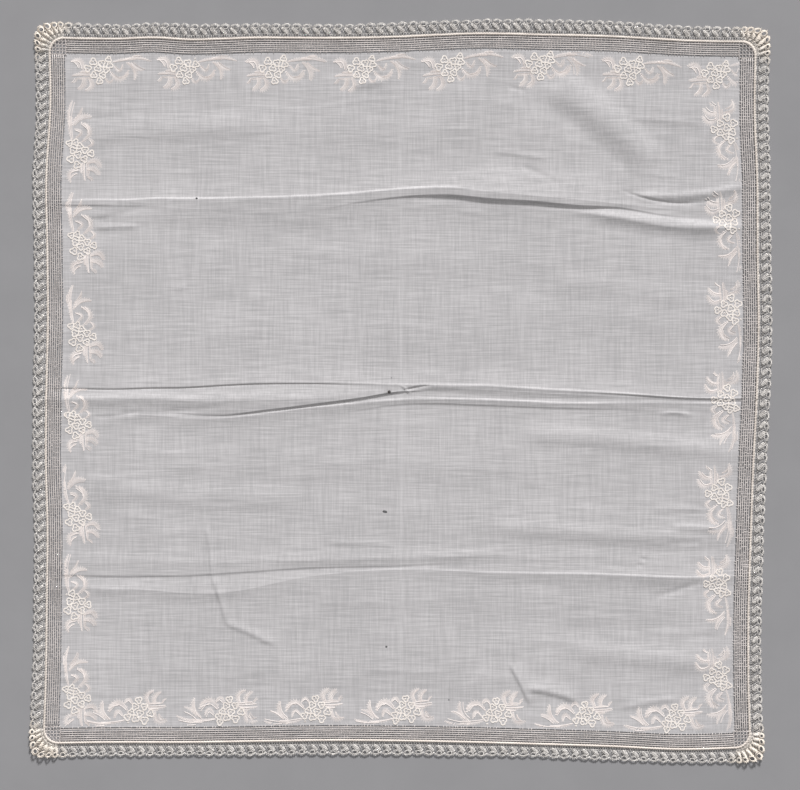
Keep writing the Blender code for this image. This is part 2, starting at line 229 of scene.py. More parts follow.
def fold_lines(fold):
    """The names of a fold's lines from its head to its foot."""
    return [name for name in fold if name + "_lift" in fold or name in ("head", "foot")]


def at_line(fold, row, u):
    """A row of the fold's table along u, or nothing where the fold has no such row."""
    return through(fold, row, u) if row in fold else np.zeros(np.shape(u))


def crosswise_lift(fold, u, v):
    """Height of one fold. From a line down to the next, t runs from 0 to 1.

    A fall goes as 1 - (1 - t)^power and a rise as t^power. Drops and leaps take DROP_WIDTH.
    """
    names = fold_lines(fold)
    height = np.zeros(np.shape(u))
    for above, below in zip(names, names[1:]):
        high, low = through(fold, above, u), through(fold, below, u)
        t = np.clip((high - v) / np.maximum(high - low, LEAST_LINE_GAP), 0, 1)
        drop = at_line(fold, below + "_drop", u) - at_line(fold, below + "_leap", u)
        rise = at_line(fold, below + "_lift", u) - at_line(fold, above + "_lift", u) + drop
        late = np.clip(0.5 - (v - low) / DROP_WIDTH, 0, 1)
        height = height + rise * np.where(rise > 0, t**FOLD_POWER, 1 - (1 - t) ** FOLD_POWER)
        height = height - drop * late**2 * (3 - 2 * late)
    return np.maximum(height, 0)


def pinch_lift(fold, u, v):
    """The nips along a fold's lines: each a narrow tent, pinch * (1 - distance / half width)."""
    height = np.zeros(np.shape(u))
    for name in fold_lines(fold):
        if name + "_pinch" in fold:
            near = 1 - np.abs(v - through(fold, name, u)) / PINCH_HALF_WIDTH
            height = height + through(fold, name + "_pinch", u) * np.clip(near, 0, 1)
    return height


# %% [markdown]
# ## Short creases and ripples
# Between the folds the linen has smaller creases from being crushed in the hand, and long soft
# ripples. A crease is a low ridge or trough along a slightly bowed line, steeper on one side than
# on the other. A negative lift makes it a trough. A swell is the same with a soft, rounded top.

# %% Short creases and soft swells, in mm
# Each is u and v at its start, u and v at its end, bow to the left, lift, and width left and right.
CREASE_POWER = 1.6
CREASE_ENDS = 5  # each end fades over one fifth of the crease
CREASES = {
    "swept crease, upper right": (122, 107.8, 192, 116, -2.2, 0.8, 3.2, 4.6),
    "tuck under the swept crease": (117, 111.4, 178, 110, -5.8, -0.38, 1.4, 1.8),
    "line beside the diagonal ridge": (122, 149.5, 168, 148.5, 0.3, 0.3, 4, 1.6),
    "small tuck by the top sprigs": (57, 166, 69, 163.5, -0.6, -0.3, 1.5, 1.5),
    "dash above the swept crease": (137, 119, 150, 120.5, -0.5, 0.3, 1.6, 1.0),
    "valley above the upper fold": (63, 123, 88, 111.5, 0.5, -0.25, 3, 3),
    "valley under the upper fold": (-170, 93.5, -140, 101.5, -0.5, -0.25, 3, 3),
    "ridge under the upper fold": (-170, 90, -143, 90.2, 0.3, 0.5, 3, 2.5),
    "line under the upper fold, right": (98, 96.5, 182, 92.0, 0.8, 0.7, 5, 7),
    "dash, upper right": (50, 129, 80, 126, 0.3, 0.3, 4, 1.6),
    "tick at the middle": (-0.4, 2.2, 5.2, -3.0, 0, 0.45, 0.9, 0.9),
    "tuck beside the tick": (0.5, -1.2, 16, 1.7, 0.4, -0.5, 1.1, 1.8),
    "dash above the middle": (31, 95.8, 47, 95.6, 0.2, 0.4, 2, 1.2),
    "valley under the middle fold": (-131, -12, -96, -9.5, 0.4, -0.25, 2.5, 2.5),
    "second valley under it": (-171, -14, -141, -11.5, -1.0, -0.25, 2.5, 2.5),
    "arc under the middle fold, right": (140, -11.5, 160, -11.5, 1.6, 0.4, 2, 2),
    "upright crease, lower left": (-107, -74, -103, -104, 0.4, 0.45, 4.5, 1.1),
    "slanting crease, lower left": (-104.5, -99, -94, -132, 0.6, 0.5, 5, 1.1),
    "its tail": (-97, -128, -65, -143, 0.6, 0.5, 5, 1.6),
    "small crease, upper left": (-125, 55.5, -118, 58.3, 0, 0.35, 2, 2),
    "crease, bottom right": (61.5, -150, 73.5, -174, 0.6, 0.65, 9, 1.1),
    "arc, bottom right": (70, -164, 101, -170.5, 1.2, 0.8, 8, 2.2),
    "slant, bottom": (39, -165.5, 48, -153, 0, 0.3, 1.5, 6),
    "crease, middle right": (100, 25, 115, 72, 1.5, 0.5, 6, 5),
    "crease, lower right": (123, -173, 156, -166, 0.8, 0.5, 4, 3),
    "crease at the top": (-28, 167, -9, 169, 0.5, 0.45, 4, 3),
    "low ridge, lower middle": (-40, -85, -2, -85.6, 0.2, 0.35, 3, 3),
    "valley under the lower fold, right": (139, -113, 169, -102.5, 0.6, -0.4, 3, 3),
    "nip, lower right": (132, -97, 136, -89, 0, -0.6, 1.1, 1.1),
    "ridge by the right sprigs": (149, -72.5, 178, -73.5, 0.6, 0.6, 2.4, 3.6),
    "second ridge by the right sprigs": (138, -63.5, 168, -62, 0.5, 0.42, 2.2, 3),
    "valley by the right sprigs": (146, -82, 168, -80.5, 0.5, -0.35, 2.2, 2.2),
}
SWELLS = {
    "diagonal ridge, upper right": (78, 172, 142, 121, 2.5, 1.15, 13, 14),
    "diagonal trough below it": (60, 164, 132, 120, 3.0, -0.25, 10, 10),
    "swell, right": (60, -25, 186, -32, 2.0, 0.5, 7, 7),
    "second swell, right": (40, -74, 180, -78, -2.0, 0.5, 6, 8),
    "third swell, right": (90, -143, 185, -150, 2.0, 0.45, 8, 8),
    "fourth swell, right": (70, 58, 186, 50, 2.0, 0.4, 9, 9),
    "swell, left": (-184, 140, -60, 146, 2.0, 0.4, 9, 9),
    "second swell, left": (-184, -52, -40, -60, -2.0, 0.4, 9, 9),
}

# Long soft ripples: (wavelength, height, drift of a crest per mm along, start), in mm.
RIPPLES = ((23.0, 0.06, 0.05, 3.0), (37.0, 0.12, -0.03, 11.0))
RIPPLE_SHARE = 0.75  # in the middle of the cloth
RIPPLE_GROWTH = 0.35  # more at the right side, and less at the left
CRUMPLES = 90  # small level wrinkles, scattered over the cloth by a seeded draw
CRUMPLE_SEED = 5
CRUMPLE_AREA = 180  # mm each way from the middle
CRUMPLE_HALF_LENGTH = (10, 38)
CRUMPLE_HALF_WIDTH = (1.3, 4.0)
CRUMPLE_LIFT = (0.05, 0.16)
CRUMPLE_LEAN = 0.07
LOWEST_DIP = -0.35 * MM  # the deepest that a trough may go


def crease_lift(values, u, v, soft=False):
    """One crease's height, along a bowed line with faded ends, where d is distance / width.

    It is lift * (1 - d)^power for a sharp one, and lift * (1 - d^2)^2 for a soft one.
    """
    u_start, v_start, u_end, v_end, bow, lift, left_width, right_width = np.array(values) * MM
    run_u, run_v = u_end - u_start, v_end - v_start
    length = math.hypot(run_u, run_v)
    along = ((u - u_start) * run_u + (v - v_start) * run_v) / length**2
    aside = ((v - v_start) * run_u - (u - u_start) * run_v) / length
    aside = aside - bow * 4 * along * (1 - along)
    width = np.where(aside > 0, left_width, right_width)
    near = np.clip(1 - np.abs(aside) / width, 0, 1)
    rise = (near * (2 - near)) ** 2 if soft else near**CREASE_POWER
    ends = np.clip(np.minimum(along, 1 - along) * CREASE_ENDS, 0, 1)
    return lift * rise * ends * ends * (3 - 2 * ends)


def ripple_lift(u, v):
    """Sum of height * sin(turns), where turns = (v + drift * u + start) / wavelength."""
    total = np.zeros(np.shape(u))
    for wavelength, height, drift, start in RIPPLES:
        turns = (v + drift * u + start * MM) / (wavelength * MM)
        total = total + height * MM * np.sin(math.tau * turns)
    return total * (RIPPLE_SHARE + RIPPLE_GROWTH * np.clip(u / HEM_LINE_HALF, -1, 1))


def crumple_lift(u, v):
    """Sum of small wrinkles, each lift * (1 - a^2)^2 * (1 - d^2)^2, a along it and d across it."""
    draw = np.random.default_rng(CRUMPLE_SEED)
    total = np.zeros(np.shape(u))
    for _ in range(CRUMPLES):
        centre_u, centre_v = draw.uniform(-CRUMPLE_AREA, CRUMPLE_AREA, 2) * MM
        half_length = draw.uniform(*CRUMPLE_HALF_LENGTH) * MM
        half_width = draw.uniform(*CRUMPLE_HALF_WIDTH) * MM
        lean = draw.normal(0, CRUMPLE_LEAN)
        lift = draw.uniform(*CRUMPLE_LIFT) * MM
        a = (u - centre_u) / half_length
        d = (v - centre_v - lean * (u - centre_u) * (1 + 0.5 * a)) / half_width
        total = total + lift * np.clip(1 - a * a, 0, 1) ** 2 * np.clip(1 - d * d, 0, 1) ** 2
    return total


def cloth_height(u, v):
    """Height of the cloth above the floor: all its folds and creases, dying out across the lace."""
    height = sum(crosswise_lift(fold, u, v) + pinch_lift(fold, u, v) for fold in CROSSWISE_FOLDS)
    height = height + sum(crease_lift(values, u, v) for values in CREASES.values())
    height = height + sum(crease_lift(values, u, v, soft=True) for values in SWELLS.values())
    height = height + ripple_lift(u, v) + crumple_lift(u, v)
    past_hem = np.maximum(np.abs(u), np.abs(v)) - HEM_LINE_HALF
    return np.maximum(height * np.clip(1 - past_hem / EDGE_FADE, 0, 1), LOWEST_DIP)


def lay(u, v, above=CLOTH_MIDDLE):
    """The true square's point (u, v) where the cloth lies, raised above its underside."""
    x, y = creep(u, v)
    return np.stack([x, y, cloth_height(u, v) + above], axis=-1)


def turned(along, out, turn):
    """(along, out) on the top side as (u, v) on the side that many clockwise quarter turns on."""
    return ((along, out), (out, -along), (-along, -out), (-out, along))[turn]


# %% [markdown]
# ## From numbers to meshes
# Nearly everything here is thread, so one function sweeps a thread's round section along any
# number of paths at once: a ring of points is set round every point of every path, and rings that
# follow one another are joined by quads. All paths in a call are one array, so there is no loop
# over points.

# %% Sweep and mesh helpers
def new_object(name, data):
    """An object of the scene that shows the data."""
    made = bpy.data.objects.new(name, data)
    bpy.context.scene.collection.objects.link(made)
    return made


def sweep(paths, radius, sides=3, flat=1.0, closed=False):
    """Threads along paths of shape (threads, points, 3).

    Ring point = path point + radius * (cos(a) * level + flat * sin(a) * up), where level is the
    horizontal way square to the path. Open threads get a cap at both ends.
    """
    threads, steps = paths.shape[:2]
    if closed:
        way = np.roll(paths, -1, axis=1) - np.roll(paths, 1, axis=1)
    else:
        way = np.gradient(paths, axis=1)
    level = np.stack([-way[..., 1], way[..., 0], np.zeros((threads, steps))], axis=-1)
    level /= np.maximum(np.linalg.norm(level, axis=-1, keepdims=True), 1e-12)
    angle = math.tau * (np.arange(sides) + 0.5) / sides
    radius = np.broadcast_to(radius, (threads, steps))[..., None, None]
    ring = paths[:, :, None] + radius * np.cos(angle)[:, None] * level[:, :, None]
    ring[..., 2] += (radius * flat * np.sin(angle)[:, None])[..., 0]
    corner = np.arange(threads * steps * sides).reshape(threads, steps, sides)
    here = corner if closed else corner[:, :-1]
    ahead = np.roll(corner, -1, axis=1) if closed else corner[:, 1:]
    quads = np.stack([here, np.roll(here, -1, 2), np.roll(ahead, -1, 2), ahead], axis=-1)
    faces = [quads.reshape(-1, 4)]
    if not closed:
        faces += [corner[:, 0, ::-1], corner[:, -1]]
    return ring.reshape(-1, 3), faces


def make_piece(name, parts, finish, smooth=True):
    """One object from parts, each (points, [face arrays]); it rides on the object's only body."""
    points = np.concatenate([part_points for part_points, _ in parts])
    faces = []
    first = 0
    for part_points, part_faces in parts:
        faces += [array + first for array in part_faces]
        first += len(part_points)
    corners = np.concatenate([array.ravel() for array in faces])
    lengths = np.concatenate([np.full(len(array), array.shape[1]) for array in faces])
    mesh = bpy.data.meshes.new(name)
    mesh.vertices.add(len(points))
    mesh.vertices.foreach_set("co", points.astype(np.float32).ravel())
    mesh.loops.add(len(corners))
    mesh.loops.foreach_set("vertex_index", corners.astype(np.int32))
    mesh.polygons.add(len(lengths))
    mesh.polygons.foreach_set("loop_start", (np.cumsum(lengths) - lengths).astype(np.int32))
    mesh.update(calc_edges=True)
    (mesh.shade_smooth if smooth else mesh.shade_flat)()
    mesh.materials.append(finish)
    piece = new_object(name, mesh)
    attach(piece, "root")
    print(name, int((lengths - 2).sum()), "triangles")
    return piece


# %% [markdown]
# ## Finishes
# Everything is bleached flax or cotton, so the finishes differ by how the thread was worked. The
# plain weave of the ground is thin and a little see-through. Pulled threads keep their natural
# warmth, the whipped hem and the gathered lace have yellowed, and the embroidery's soft floss is
# the whitest.

# %% Colour and node helpers
def linear(hex_colour):
    """An sRGB hex colour as linear red, green, blue and alpha."""
    channels = [int(hex_colour[i : i + 2], 16) / 255 for i in (0, 2, 4)]
    return (*[c / 12.92 if c <= 0.04045 else ((c + 0.055) / 1.055) ** 2.4 for c in channels], 1.0)


def add(tree, kind, settings=(), links=()):
    """Adds a node. Settings are (socket or property, value), links (socket, another's output)."""
    node = tree.nodes.new("ShaderNode" + kind)
    for name, value in settings:
        if isinstance(name, int) or name in node.inputs:
            node.inputs[name].default_value = value
        else:
            setattr(node, name, value)
    for name, output in links:
        tree.links.new(output, node.inputs[name])
    return node


def object_place(tree):
    """Places on the object, in metres."""
    return add(tree, "TexCoord").outputs["Object"]


def vector_math(tree, operation, vector, other=(0.0, 0.0, 0.0)):
    """A vector, worked on with another one."""
    settings = [("operation", operation), (1, other)]
    return add(tree, "VectorMath", settings, [(0, vector)]).outputs


def weighted(tree, value, weight, rest=None):
    """value * weight, plus the rest where there is one."""
    links = [(0, value)] if rest is None else [(0, value), (2, rest)]
    settings = [("operation", "MULTIPLY_ADD"), (1, weight), (2, 0.0)]
    return add(tree, "Math", settings, links).outputs[0]


def map_range(tree, value, before, after=(0.0, 1.0)):
    """The value, moved from one range to another and held at its ends."""
    settings = zip(("From Min", "From Max", "To Min", "To Max"), (*before, *after))
    return add(tree, "MapRange", settings, [("Value", value)]).outputs["Result"]


def mix_colours(tree, share, first, second):
    """The first colour, or the second one, a hex colour, where the share is 1."""
    settings = [("data_type", "RGBA"), (7, linear(second))]
    return add(tree, "Mix", settings, [(0, share), (6, first)]).outputs[2]


def new_finish(name, roughness, sheen=0.0):
    """A material with a Principled shader whose roughness and sheen are the same all over."""
    finish = bpy.data.materials.new(name)
    finish.use_nodes = True
    shader = finish.node_tree.nodes["Principled BSDF"]
    shader.inputs["Roughness"].default_value = roughness
    shader.inputs["IOR"].default_value = 1.5
    shader.inputs["Sheen Weight"].default_value = sheen
    shader.inputs["Sheen Roughness"].default_value = 0.5
    return finish, finish.node_tree, shader


def streaks(tree, across_x, across_y, detail=3.0):
    """Noise stretched one way: across_x and across_y are the sizes of its grains, in metres."""
    scale = [("Scale", (1 / across_x, 1 / across_y, 1 / across_x))]
    stretch = add(tree, "Mapping", scale, [("Vector", object_place(tree))])
    settings = [("Scale", 1.0), ("Detail", detail), ("Roughness", 0.6)]
    return add(tree, "TexNoise", settings, [("Vector", stretch.outputs["Vector"])]).outputs["Fac"]


def ramp(tree, value, stops):
    """A colour ramp through (position, colour) stops."""
    node = add(tree, "ValToRGB", [], [("Fac", value)])
    elements = node.color_ramp.elements
    while len(elements) < len(stops):
        elements.new(0.5)
    for element, (position, colour) in zip(elements, stops):
        element.position = position
        element.color = colour
    return node.outputs["Color"]


# %% [markdown]
# ### Sheer linen lawn
# Hand-spun flax is uneven, so the weave shows slubs: long thin streaks, denser and whiter, running
# both ways, the crosswise ones stronger. The real threads are 0.25 mm apart, finer than can show
# here, so the streaks are drawn 0.8 mm wide. Thin places let the surface below show through.

# %% Material: sheer linen lawn
WEFT_STREAK = (22 * MM, 0.8 * MM)  # length and breadth of a crosswise slub
WARP_STREAK = (0.8 * MM, 20 * MM)
CLOUD = 60 * MM  # broad patches, thinner and thicker
WEFT_SHARE, WARP_SHARE, CLOUD_SHARE = 0.62, 0.38, 0.16
WEAVE_STOPS = ((0.36, linear("B4B2B3")), (0.58, linear("C0BDBE")), (0.8, linear("CBC8C9")))
THIN_TO_THICK = (0.45, 0.7)  # as the slubs go from this to that,
COVER = (0.78, 0.96)  # the cloth covers from this to that much of what lies below
SLUB_HEIGHT = 0.1 * MM
SLUB_STRENGTH = 0.25
UPRIGHT_CREASE_HIGHLIGHTS = ((-55.5 * MM, 0.12), (0.4 * MM, 0.3), (84 * MM, 0.12))  # place and strength of a painted highlight along each upright crease
UPRIGHT_HIGHLIGHT_HALF = 0.8 * MM
STAIN_AND_SHADE_SPOT = (-6.4 * MM, -0.5 * MM)  # a faint stain round the middle's small hole, and a near-black rim of painted shade for the dark inside it
STAIN_AND_SHADE_REACH = 3.0 * MM
STAIN_AND_SHADE_STOPS = ((0.22, 1.0), (0.36, 0.14), (1.0, 0.0))  # share of the reach, strength


def grey(strength):
    """A strength as the colour of a ramp's stop."""
    return (strength, strength, strength, 1.0)


def painted_crease_highlights(tree):
    """A ramp across the cloth, lighter along the upright folds: painted highlights on their
    creases.
    """
    axes = add(tree, "SeparateXYZ", [], [("Vector", object_place(tree))])
    share = map_range(tree, axes.outputs["X"], (-HEM_LINE_HALF, HEM_LINE_HALF))
    stops = []
    for line, strength in UPRIGHT_CREASE_HIGHLIGHTS:
        middle = 0.5 + line / (2 * HEM_LINE_HALF)
        reach = UPRIGHT_HIGHLIGHT_HALF / (2 * HEM_LINE_HALF)
        stops += [(middle - reach, grey(0)), (middle, grey(strength)), (middle + reach, grey(0))]
    return ramp(tree, share, stops)


def stain_and_painted_shade(tree):
    """Strength of the faint stain and of the painted shade at the hole's rim, by distance from its
    middle, with the height taken out of the place.
    """
    flat_place = vector_math(tree, "MULTIPLY", object_place(tree), (1.0, 1.0, 0.0))[0]
    distance = vector_math(tree, "DISTANCE", flat_place, (*STAIN_AND_SHADE_SPOT, 0.0))["Value"]
    share = map_range(tree, distance, (0.0, STAIN_AND_SHADE_REACH))
    return ramp(tree, share, [(position, grey(strength)) for position, strength in STAIN_AND_SHADE_STOPS])


def sheer_linen():
    """Weft, warp and cloud noise added by their shares give the cloth's colour, cover and bump."""
    finish, tree, shader = new_finish("sheer linen lawn", 0.8, 0.15)
    weft, warp = streaks(tree, *WEFT_STREAK), streaks(tree, *WARP_STREAK)
    threads = weighted(tree, weft, WEFT_SHARE, weighted(tree, warp, WARP_SHARE))
    body = weighted(tree, streaks(tree, CLOUD, CLOUD, 2.0), CLOUD_SHARE, threads)
    # painted shade: a near-black rim at the middle's small hole stands in for the dark inside it;
    # the faint halo round it is a real stain
    stained_and_shaded = mix_colours(tree, stain_and_painted_shade(tree), ramp(tree, body, WEAVE_STOPS), "33241C")
    # painted highlight: the cloth is mixed lighter along the upright creases, in place of the light
    # their ridges would catch
    highlighted = mix_colours(tree, painted_crease_highlights(tree), stained_and_shaded, "E2DFE0")
    settings = [("Strength", SLUB_STRENGTH), ("Distance", SLUB_HEIGHT)]
    bump = add(tree, "Bump", settings, [("Height", threads)])
    tree.links.new(highlighted, shader.inputs["Base Color"])
    tree.links.new(map_range(tree, body, THIN_TO_THICK, COVER), shader.inputs["Alpha"])
    tree.links.new(bump.outputs["Normal"], shader.inputs["Normal"])
    return finish


LINEN_LAWN = sheer_linen()

# %% [markdown]
# ### Thread finishes
# The other pieces are real threads in the mesh, so their finishes only need the thread's own
# colour, a little unevenness along it, and the yellowing. The lace has yellowed most at the
# gathered corners, where many layers lie together, so its colour follows the distance from the
# middle of the cloth.

# %% Materials: pulled thread, whipped hem, lace thread and embroidery floss
GATHER_REACH = (268 * MM, 276 * MM)  # from the middle of the cloth, where the yellowing sets in
GATHER_YELLOWING = 0.8


def thread_finish(name, dark, light, roughness, patch, gathered=None):
    """Cotton or flax thread: colour drifts between two hex colours over patches of the given size.

    The lace also turns to a third colour at the corners, where it is gathered.
    """
    finish, tree, shader = new_finish(name, roughness, 0.2)
    stops = [(0.35, linear(dark)), (0.65, linear(light))]
    colour = ramp(tree, streaks(tree, patch, patch, 2.0), stops)
    if gathered:
        reach = vector_math(tree, "LENGTH", object_place(tree))["Value"]
        share = map_range(tree, reach, GATHER_REACH, (0.0, GATHER_YELLOWING))
        colour = mix_colours(tree, share, colour, gathered)
    tree.links.new(colour, shader.inputs["Base Color"])
    return finish


PULLED_THREAD = thread_finish("pulled linen thread", "CDC5C1", "E1D8D4", 0.8, 14 * MM)
WHIPPED_HEM = thread_finish("whipped linen hem", "D3C8BF", "E1D7CE", 0.75, 8 * MM)
LACE_THREAD = thread_finish("cotton lace thread", "BCB7B3", "EEE9E4", 0.85, 1.1 * MM, "EEE2D4")
LEAF_FLOSS = thread_finish("satin stitch floss", "DBD1CD", "E8DFDB", 0.9, 6 * MM)
FLOWER_FLOSS = thread_finish("corded outline floss", "E2D9D2", "F0E8E1", 0.8, 5 * MM)
threads = (PULLED_THREAD, WHIPPED_HEM, LACE_THREAD, LEAF_FLOSS, FLOWER_FLOSS)
print("finishes:", [finish.name for finish in (LINEN_LAWN, *threads)])

# %% [markdown]
# ## The ground
# The linen itself is one thin sheet. Even squares would cut across the creases and blur them, so
# the grid's rows follow the folds' own lines, with closer rows at a nip. The few small holes worn
# in it are real ones: the grid point nearest a hole goes, with the faces round it, its eight
# neighbours move on to the hole's rim, and the cloth around gives way.

# %% Rows, columns and worn holes
GROUND_HALF = 185.7 * MM  # the plain weave ends here, at the pulled border's last row of holes
COLUMN_STEP = 1.8 * MM
CLOSE_COLUMNS = ((-110, -92), (-5, 8), (60, 76))  # twice as many where creases stand upright, mm
ROW_STEP = 1.3 * MM
FEWEST_STEPS = 3  # rows between two lines of a fold
LINE_OFFSETS = (-0.75, -0.4, -0.15, 0.15, 0.4, 0.75)  # rows beside a sharp line of a fold, in mm
ROW_GAP = 0.06 * MM  # rows never come closer
WORN_HOLES = (
    # u, v, half length and half breadth in mm, turn in degrees
    (-7.9, -67.8, 1.4, 0.8, -12),
    (-6.5, -1.7, 0.55, 0.5, 0),
    (-111.9, 106.3, 0.65, 0.55, 0),
    (-6.0, -142.3, 0.65, 0.6, 30),
    (28.6, -171.2, 0.45, 0.4, 0),
    (-5.7, 6.0, 0.32, 0.3, 0),
)
HOLE_REACH = 3.0  # the cloth round a hole gives way up to this many times the hole's own half size


def rows_between(above, below):
    """Rows from one curve down to the next, leaving out the lower one."""
    steps = max(FEWEST_STEPS, math.ceil((above - below).max() / ROW_STEP))
    return [above + (below - above) * step / steps for step in range(steps)]


def ground_rows(u):
    """Each row's v at every column, sorted downwards and kept at least ROW_GAP apart."""
    rows = []
    above = np.full(u.shape, GROUND_HALF)
    for fold in CROSSWISE_FOLDS:
        for name in fold_lines(fold):
            line = through(fold, name, u)
            rows += rows_between(above, line)
            if any(name + sharp in fold for sharp in ("_pinch", "_drop", "_leap")):
                rows += [line + offset * MM for offset in LINE_OFFSETS]
            above = line
    edge = np.full(u.shape, -GROUND_HALF)
    rows += [*rows_between(above, edge), edge]
    rows = -np.sort(-np.array(rows), axis=0)
    step_down = ROW_GAP * np.arange(len(rows))[:, None]
    return np.minimum.accumulate(rows + step_down, axis=0) - step_down


def ground_columns():
    """Evenly spaced columns, with one more in each gap where creases stand upright."""
    columns = np.linspace(-GROUND_HALF, GROUND_HALF, round(2 * GROUND_HALF / COLUMN_STEP) + 1)
    middles = (columns[1:] + columns[:-1]) / 2
    close = sum((middles > low * MM) & (middles < high * MM) for low, high in CLOSE_COLUMNS) > 0
    return np.sort(np.concatenate([columns, middles[close]]))


def open_holes(u, v, faces_shown):
    """Opens each hole at its nearest point. In hole sizes, r becomes 1 + r (1 - 1 / reach)."""
    for *sizes, turn_deg in WORN_HOLES:
        middle_u, middle_v, half_length, half_breadth = np.array(sizes) * MM
        cos, sin = math.cos(math.radians(turn_deg)), math.sin(math.radians(turn_deg))
        away_u, away_v = u - middle_u, v - middle_v
        row, column = np.unravel_index(np.argmin(np.hypot(away_u, away_v)), u.shape)
        a = (away_u * cos + away_v * sin) / half_length
        b = (away_v * cos - away_u * sin) / half_breadth
        r = np.maximum(np.hypot(a, b), 1e-6)
        push = np.where(r < HOLE_REACH, (1 + r * (1 - 1 / HOLE_REACH)) / r, 1)
        a, b = a * push, b * push
        near = (slice(row - 1, row + 2), slice(column - 1, column + 2))
        angle = np.radians([[135, 90, 45], [180, 0, 0], [225, 270, 315]])
        a[near], b[near] = np.cos(angle), np.sin(angle)
        faces_shown[row - 1 : row + 1, column - 1 : column + 1] = False
        a, b = a * half_length, b * half_breadth
        u[:] = middle_u + a * cos - b * sin
        v[:] = middle_v + a * sin + b * cos


# %% Make the ground
def make_ground():
    """The sheet: rows by columns of lay(u, v), as quads facing up."""
    columns = ground_columns()
    v = ground_rows(columns)
    u = np.broadcast_to(columns, v.shape).copy()
    faces_shown = np.ones((v.shape[0] - 1, v.shape[1] - 1), bool)
    open_holes(u, v, faces_shown)
    point = np.arange(v.size).reshape(v.shape)
    quads = np.stack([point[:-1, :-1], point[1:, :-1], point[1:, 1:], point[:-1, 1:]], axis=-1)
    return lay(u, v).reshape(-1, 3), [quads[faces_shown]]


linen_sheet = make_piece("linen_sheet", [make_ground()], LINEN_LAWN)
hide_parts("linen_ground")

# %% [markdown]
# ## The pulled-thread border
# To make it, threads are drawn out of the cloth and those left are bound into bands, with
# pin-prick holes in rows between them. Each band is a flat thread bundle along the side, and each
# bar between two holes is a thin pinched bundle across it. They are swept as threads, so the holes
# are real. Spacing and breadth drift a little, because it was done by eye.

# %% Pulled-thread border
rng = np.random.default_rng(19)
HOLE_ROWS = 7
FIRST_ROW = 0.95 * MM  # from the hem line to the first row's middle
ROW_PITCH = 1.17 * MM
HOLE_PITCH = 1.6 * MM
BAND_HALF = 0.25 * MM
BAND_FLAT = 0.45
BAND_STEP = 2.0 * MM
BAND_UNEVEN = (0.14, 9 * MM)  # share of its breadth, wavelength
ROW_DRIFT = (0.06 * MM, 45 * MM)
BAR_RADIUS = 0.14 * MM
BAR_WAIST = (1.3, 0.85, 1.3)  # a pinched bundle is thinnest in the middle
BAR_FLAT = 0.6
BAR_BELOW = 0.08 * MM  # the bars lie a little lower than the bands
BAR_SCATTER, BAR_LEAN = 0.17 * MM, 0.06 * MM
BAR_UNEVEN = (0.6, 1.6)
BARS_MISSING = 0.14  # share of the bars left out, so that two holes run together
BARS_MISSING_INNER = 0.3  # in the row next to the plain weave
BORDER_MIDDLE = 0.75 * MM  # the bound threads stand a little proud of the plain weave
BORDER_END = 184.9 * MM  # how far along a side the rows run before the corner net
DRIFT_WAVES = 4
DRIFT_STRETCH = (0.6, 1.8)  # their wavelengths differ by this


def drift(place, size, wavelength):
    """Smooth unevenness along a length: a sum of sines of seeded wavelengths and starts."""
    total = np.zeros(np.shape(place))
    for _ in range(DRIFT_WAVES):
        stretch, start = rng.uniform(*DRIFT_STRETCH), rng.uniform(0, math.tau)
        total = total + np.sin(math.tau * place / (wavelength * stretch) + start)
    return size * total / math.sqrt(DRIFT_WAVES)


def row_out(row):
    """How far out a row's middle lies, from the middle of the cloth."""
    return HEM_LINE_HALF - FIRST_ROW - row * ROW_PITCH


def border_side(turn):
    """One side's bands, and the bars that cross each row of holes."""
    parts = []
    along = np.linspace(-BORDER_END, BORDER_END, round(2 * BORDER_END / BAND_STEP) + 1)
    for row in range(HOLE_ROWS - 1):
        u, v = turned(along, row_out(row + 0.5) + drift(along, *ROW_DRIFT), turn)
        half = BAND_HALF * (1 + drift(along, *BAND_UNEVEN))
        parts.append(sweep(lay(u, v, BORDER_MIDDLE)[None], half[None], sides=4, flat=BAND_FLAT))
    across = np.array([0.5, 0.0, -0.5]) * ROW_PITCH
    for row in range(HOLE_ROWS):
        count = round(2 * BORDER_END / HOLE_PITCH)
        bars = np.linspace(-BORDER_END, BORDER_END, count) + rng.normal(0, BAR_SCATTER, count)
        missing = BARS_MISSING_INNER if row == HOLE_ROWS - 1 else BARS_MISSING
        bars = bars[rng.random(count) > missing]
        lean = rng.normal(0, BAR_LEAN, (len(bars), 3))
        out = np.broadcast_to(row_out(row) + across, (len(bars), 3))
        u, v = turned(bars[:, None] + lean, out, turn)
        breadth = BAR_RADIUS * rng.uniform(*BAR_UNEVEN, (len(bars), 1)) * np.array(BAR_WAIST)
        parts.append(sweep(lay(u, v, BORDER_MIDDLE - BAR_BELOW), breadth, flat=BAR_FLAT))
    return parts


border_parts = [part for turn in range(4) for part in border_side(turn)]
pulled_border = make_piece("pulled_thread_border", border_parts, PULLED_THREAD)

# %% [markdown]
# ## The corner nets
# In each corner both sets of threads were drawn and the rest bound into an open net with diamond
# holes. A net like this is many zigzag threads, each in step against the next, so that they touch
# at every turn. They run along the corner's chord, which stretches the holes that way.

# %% Corner nets
NET_PITCH = 1.3 * MM  # between neighbouring zigzags
NET_TURN = 1.25 * MM  # length of one zig
NET_RADIUS = 0.2 * MM
NET_STEPS = 3  # points in each zig
NET_REACH = 9.2 * MM  # half the length that is drawn before it is cut to the corner
NET_SWING = 0.86  # neighbours come this near to touching, as a share of the pitch
NET_OVERLAP = 0.4 * MM  # with the ends of the rows
NET_WOBBLE = 0.05 * MM
NET_UNEVEN = (0.85, 1.3)


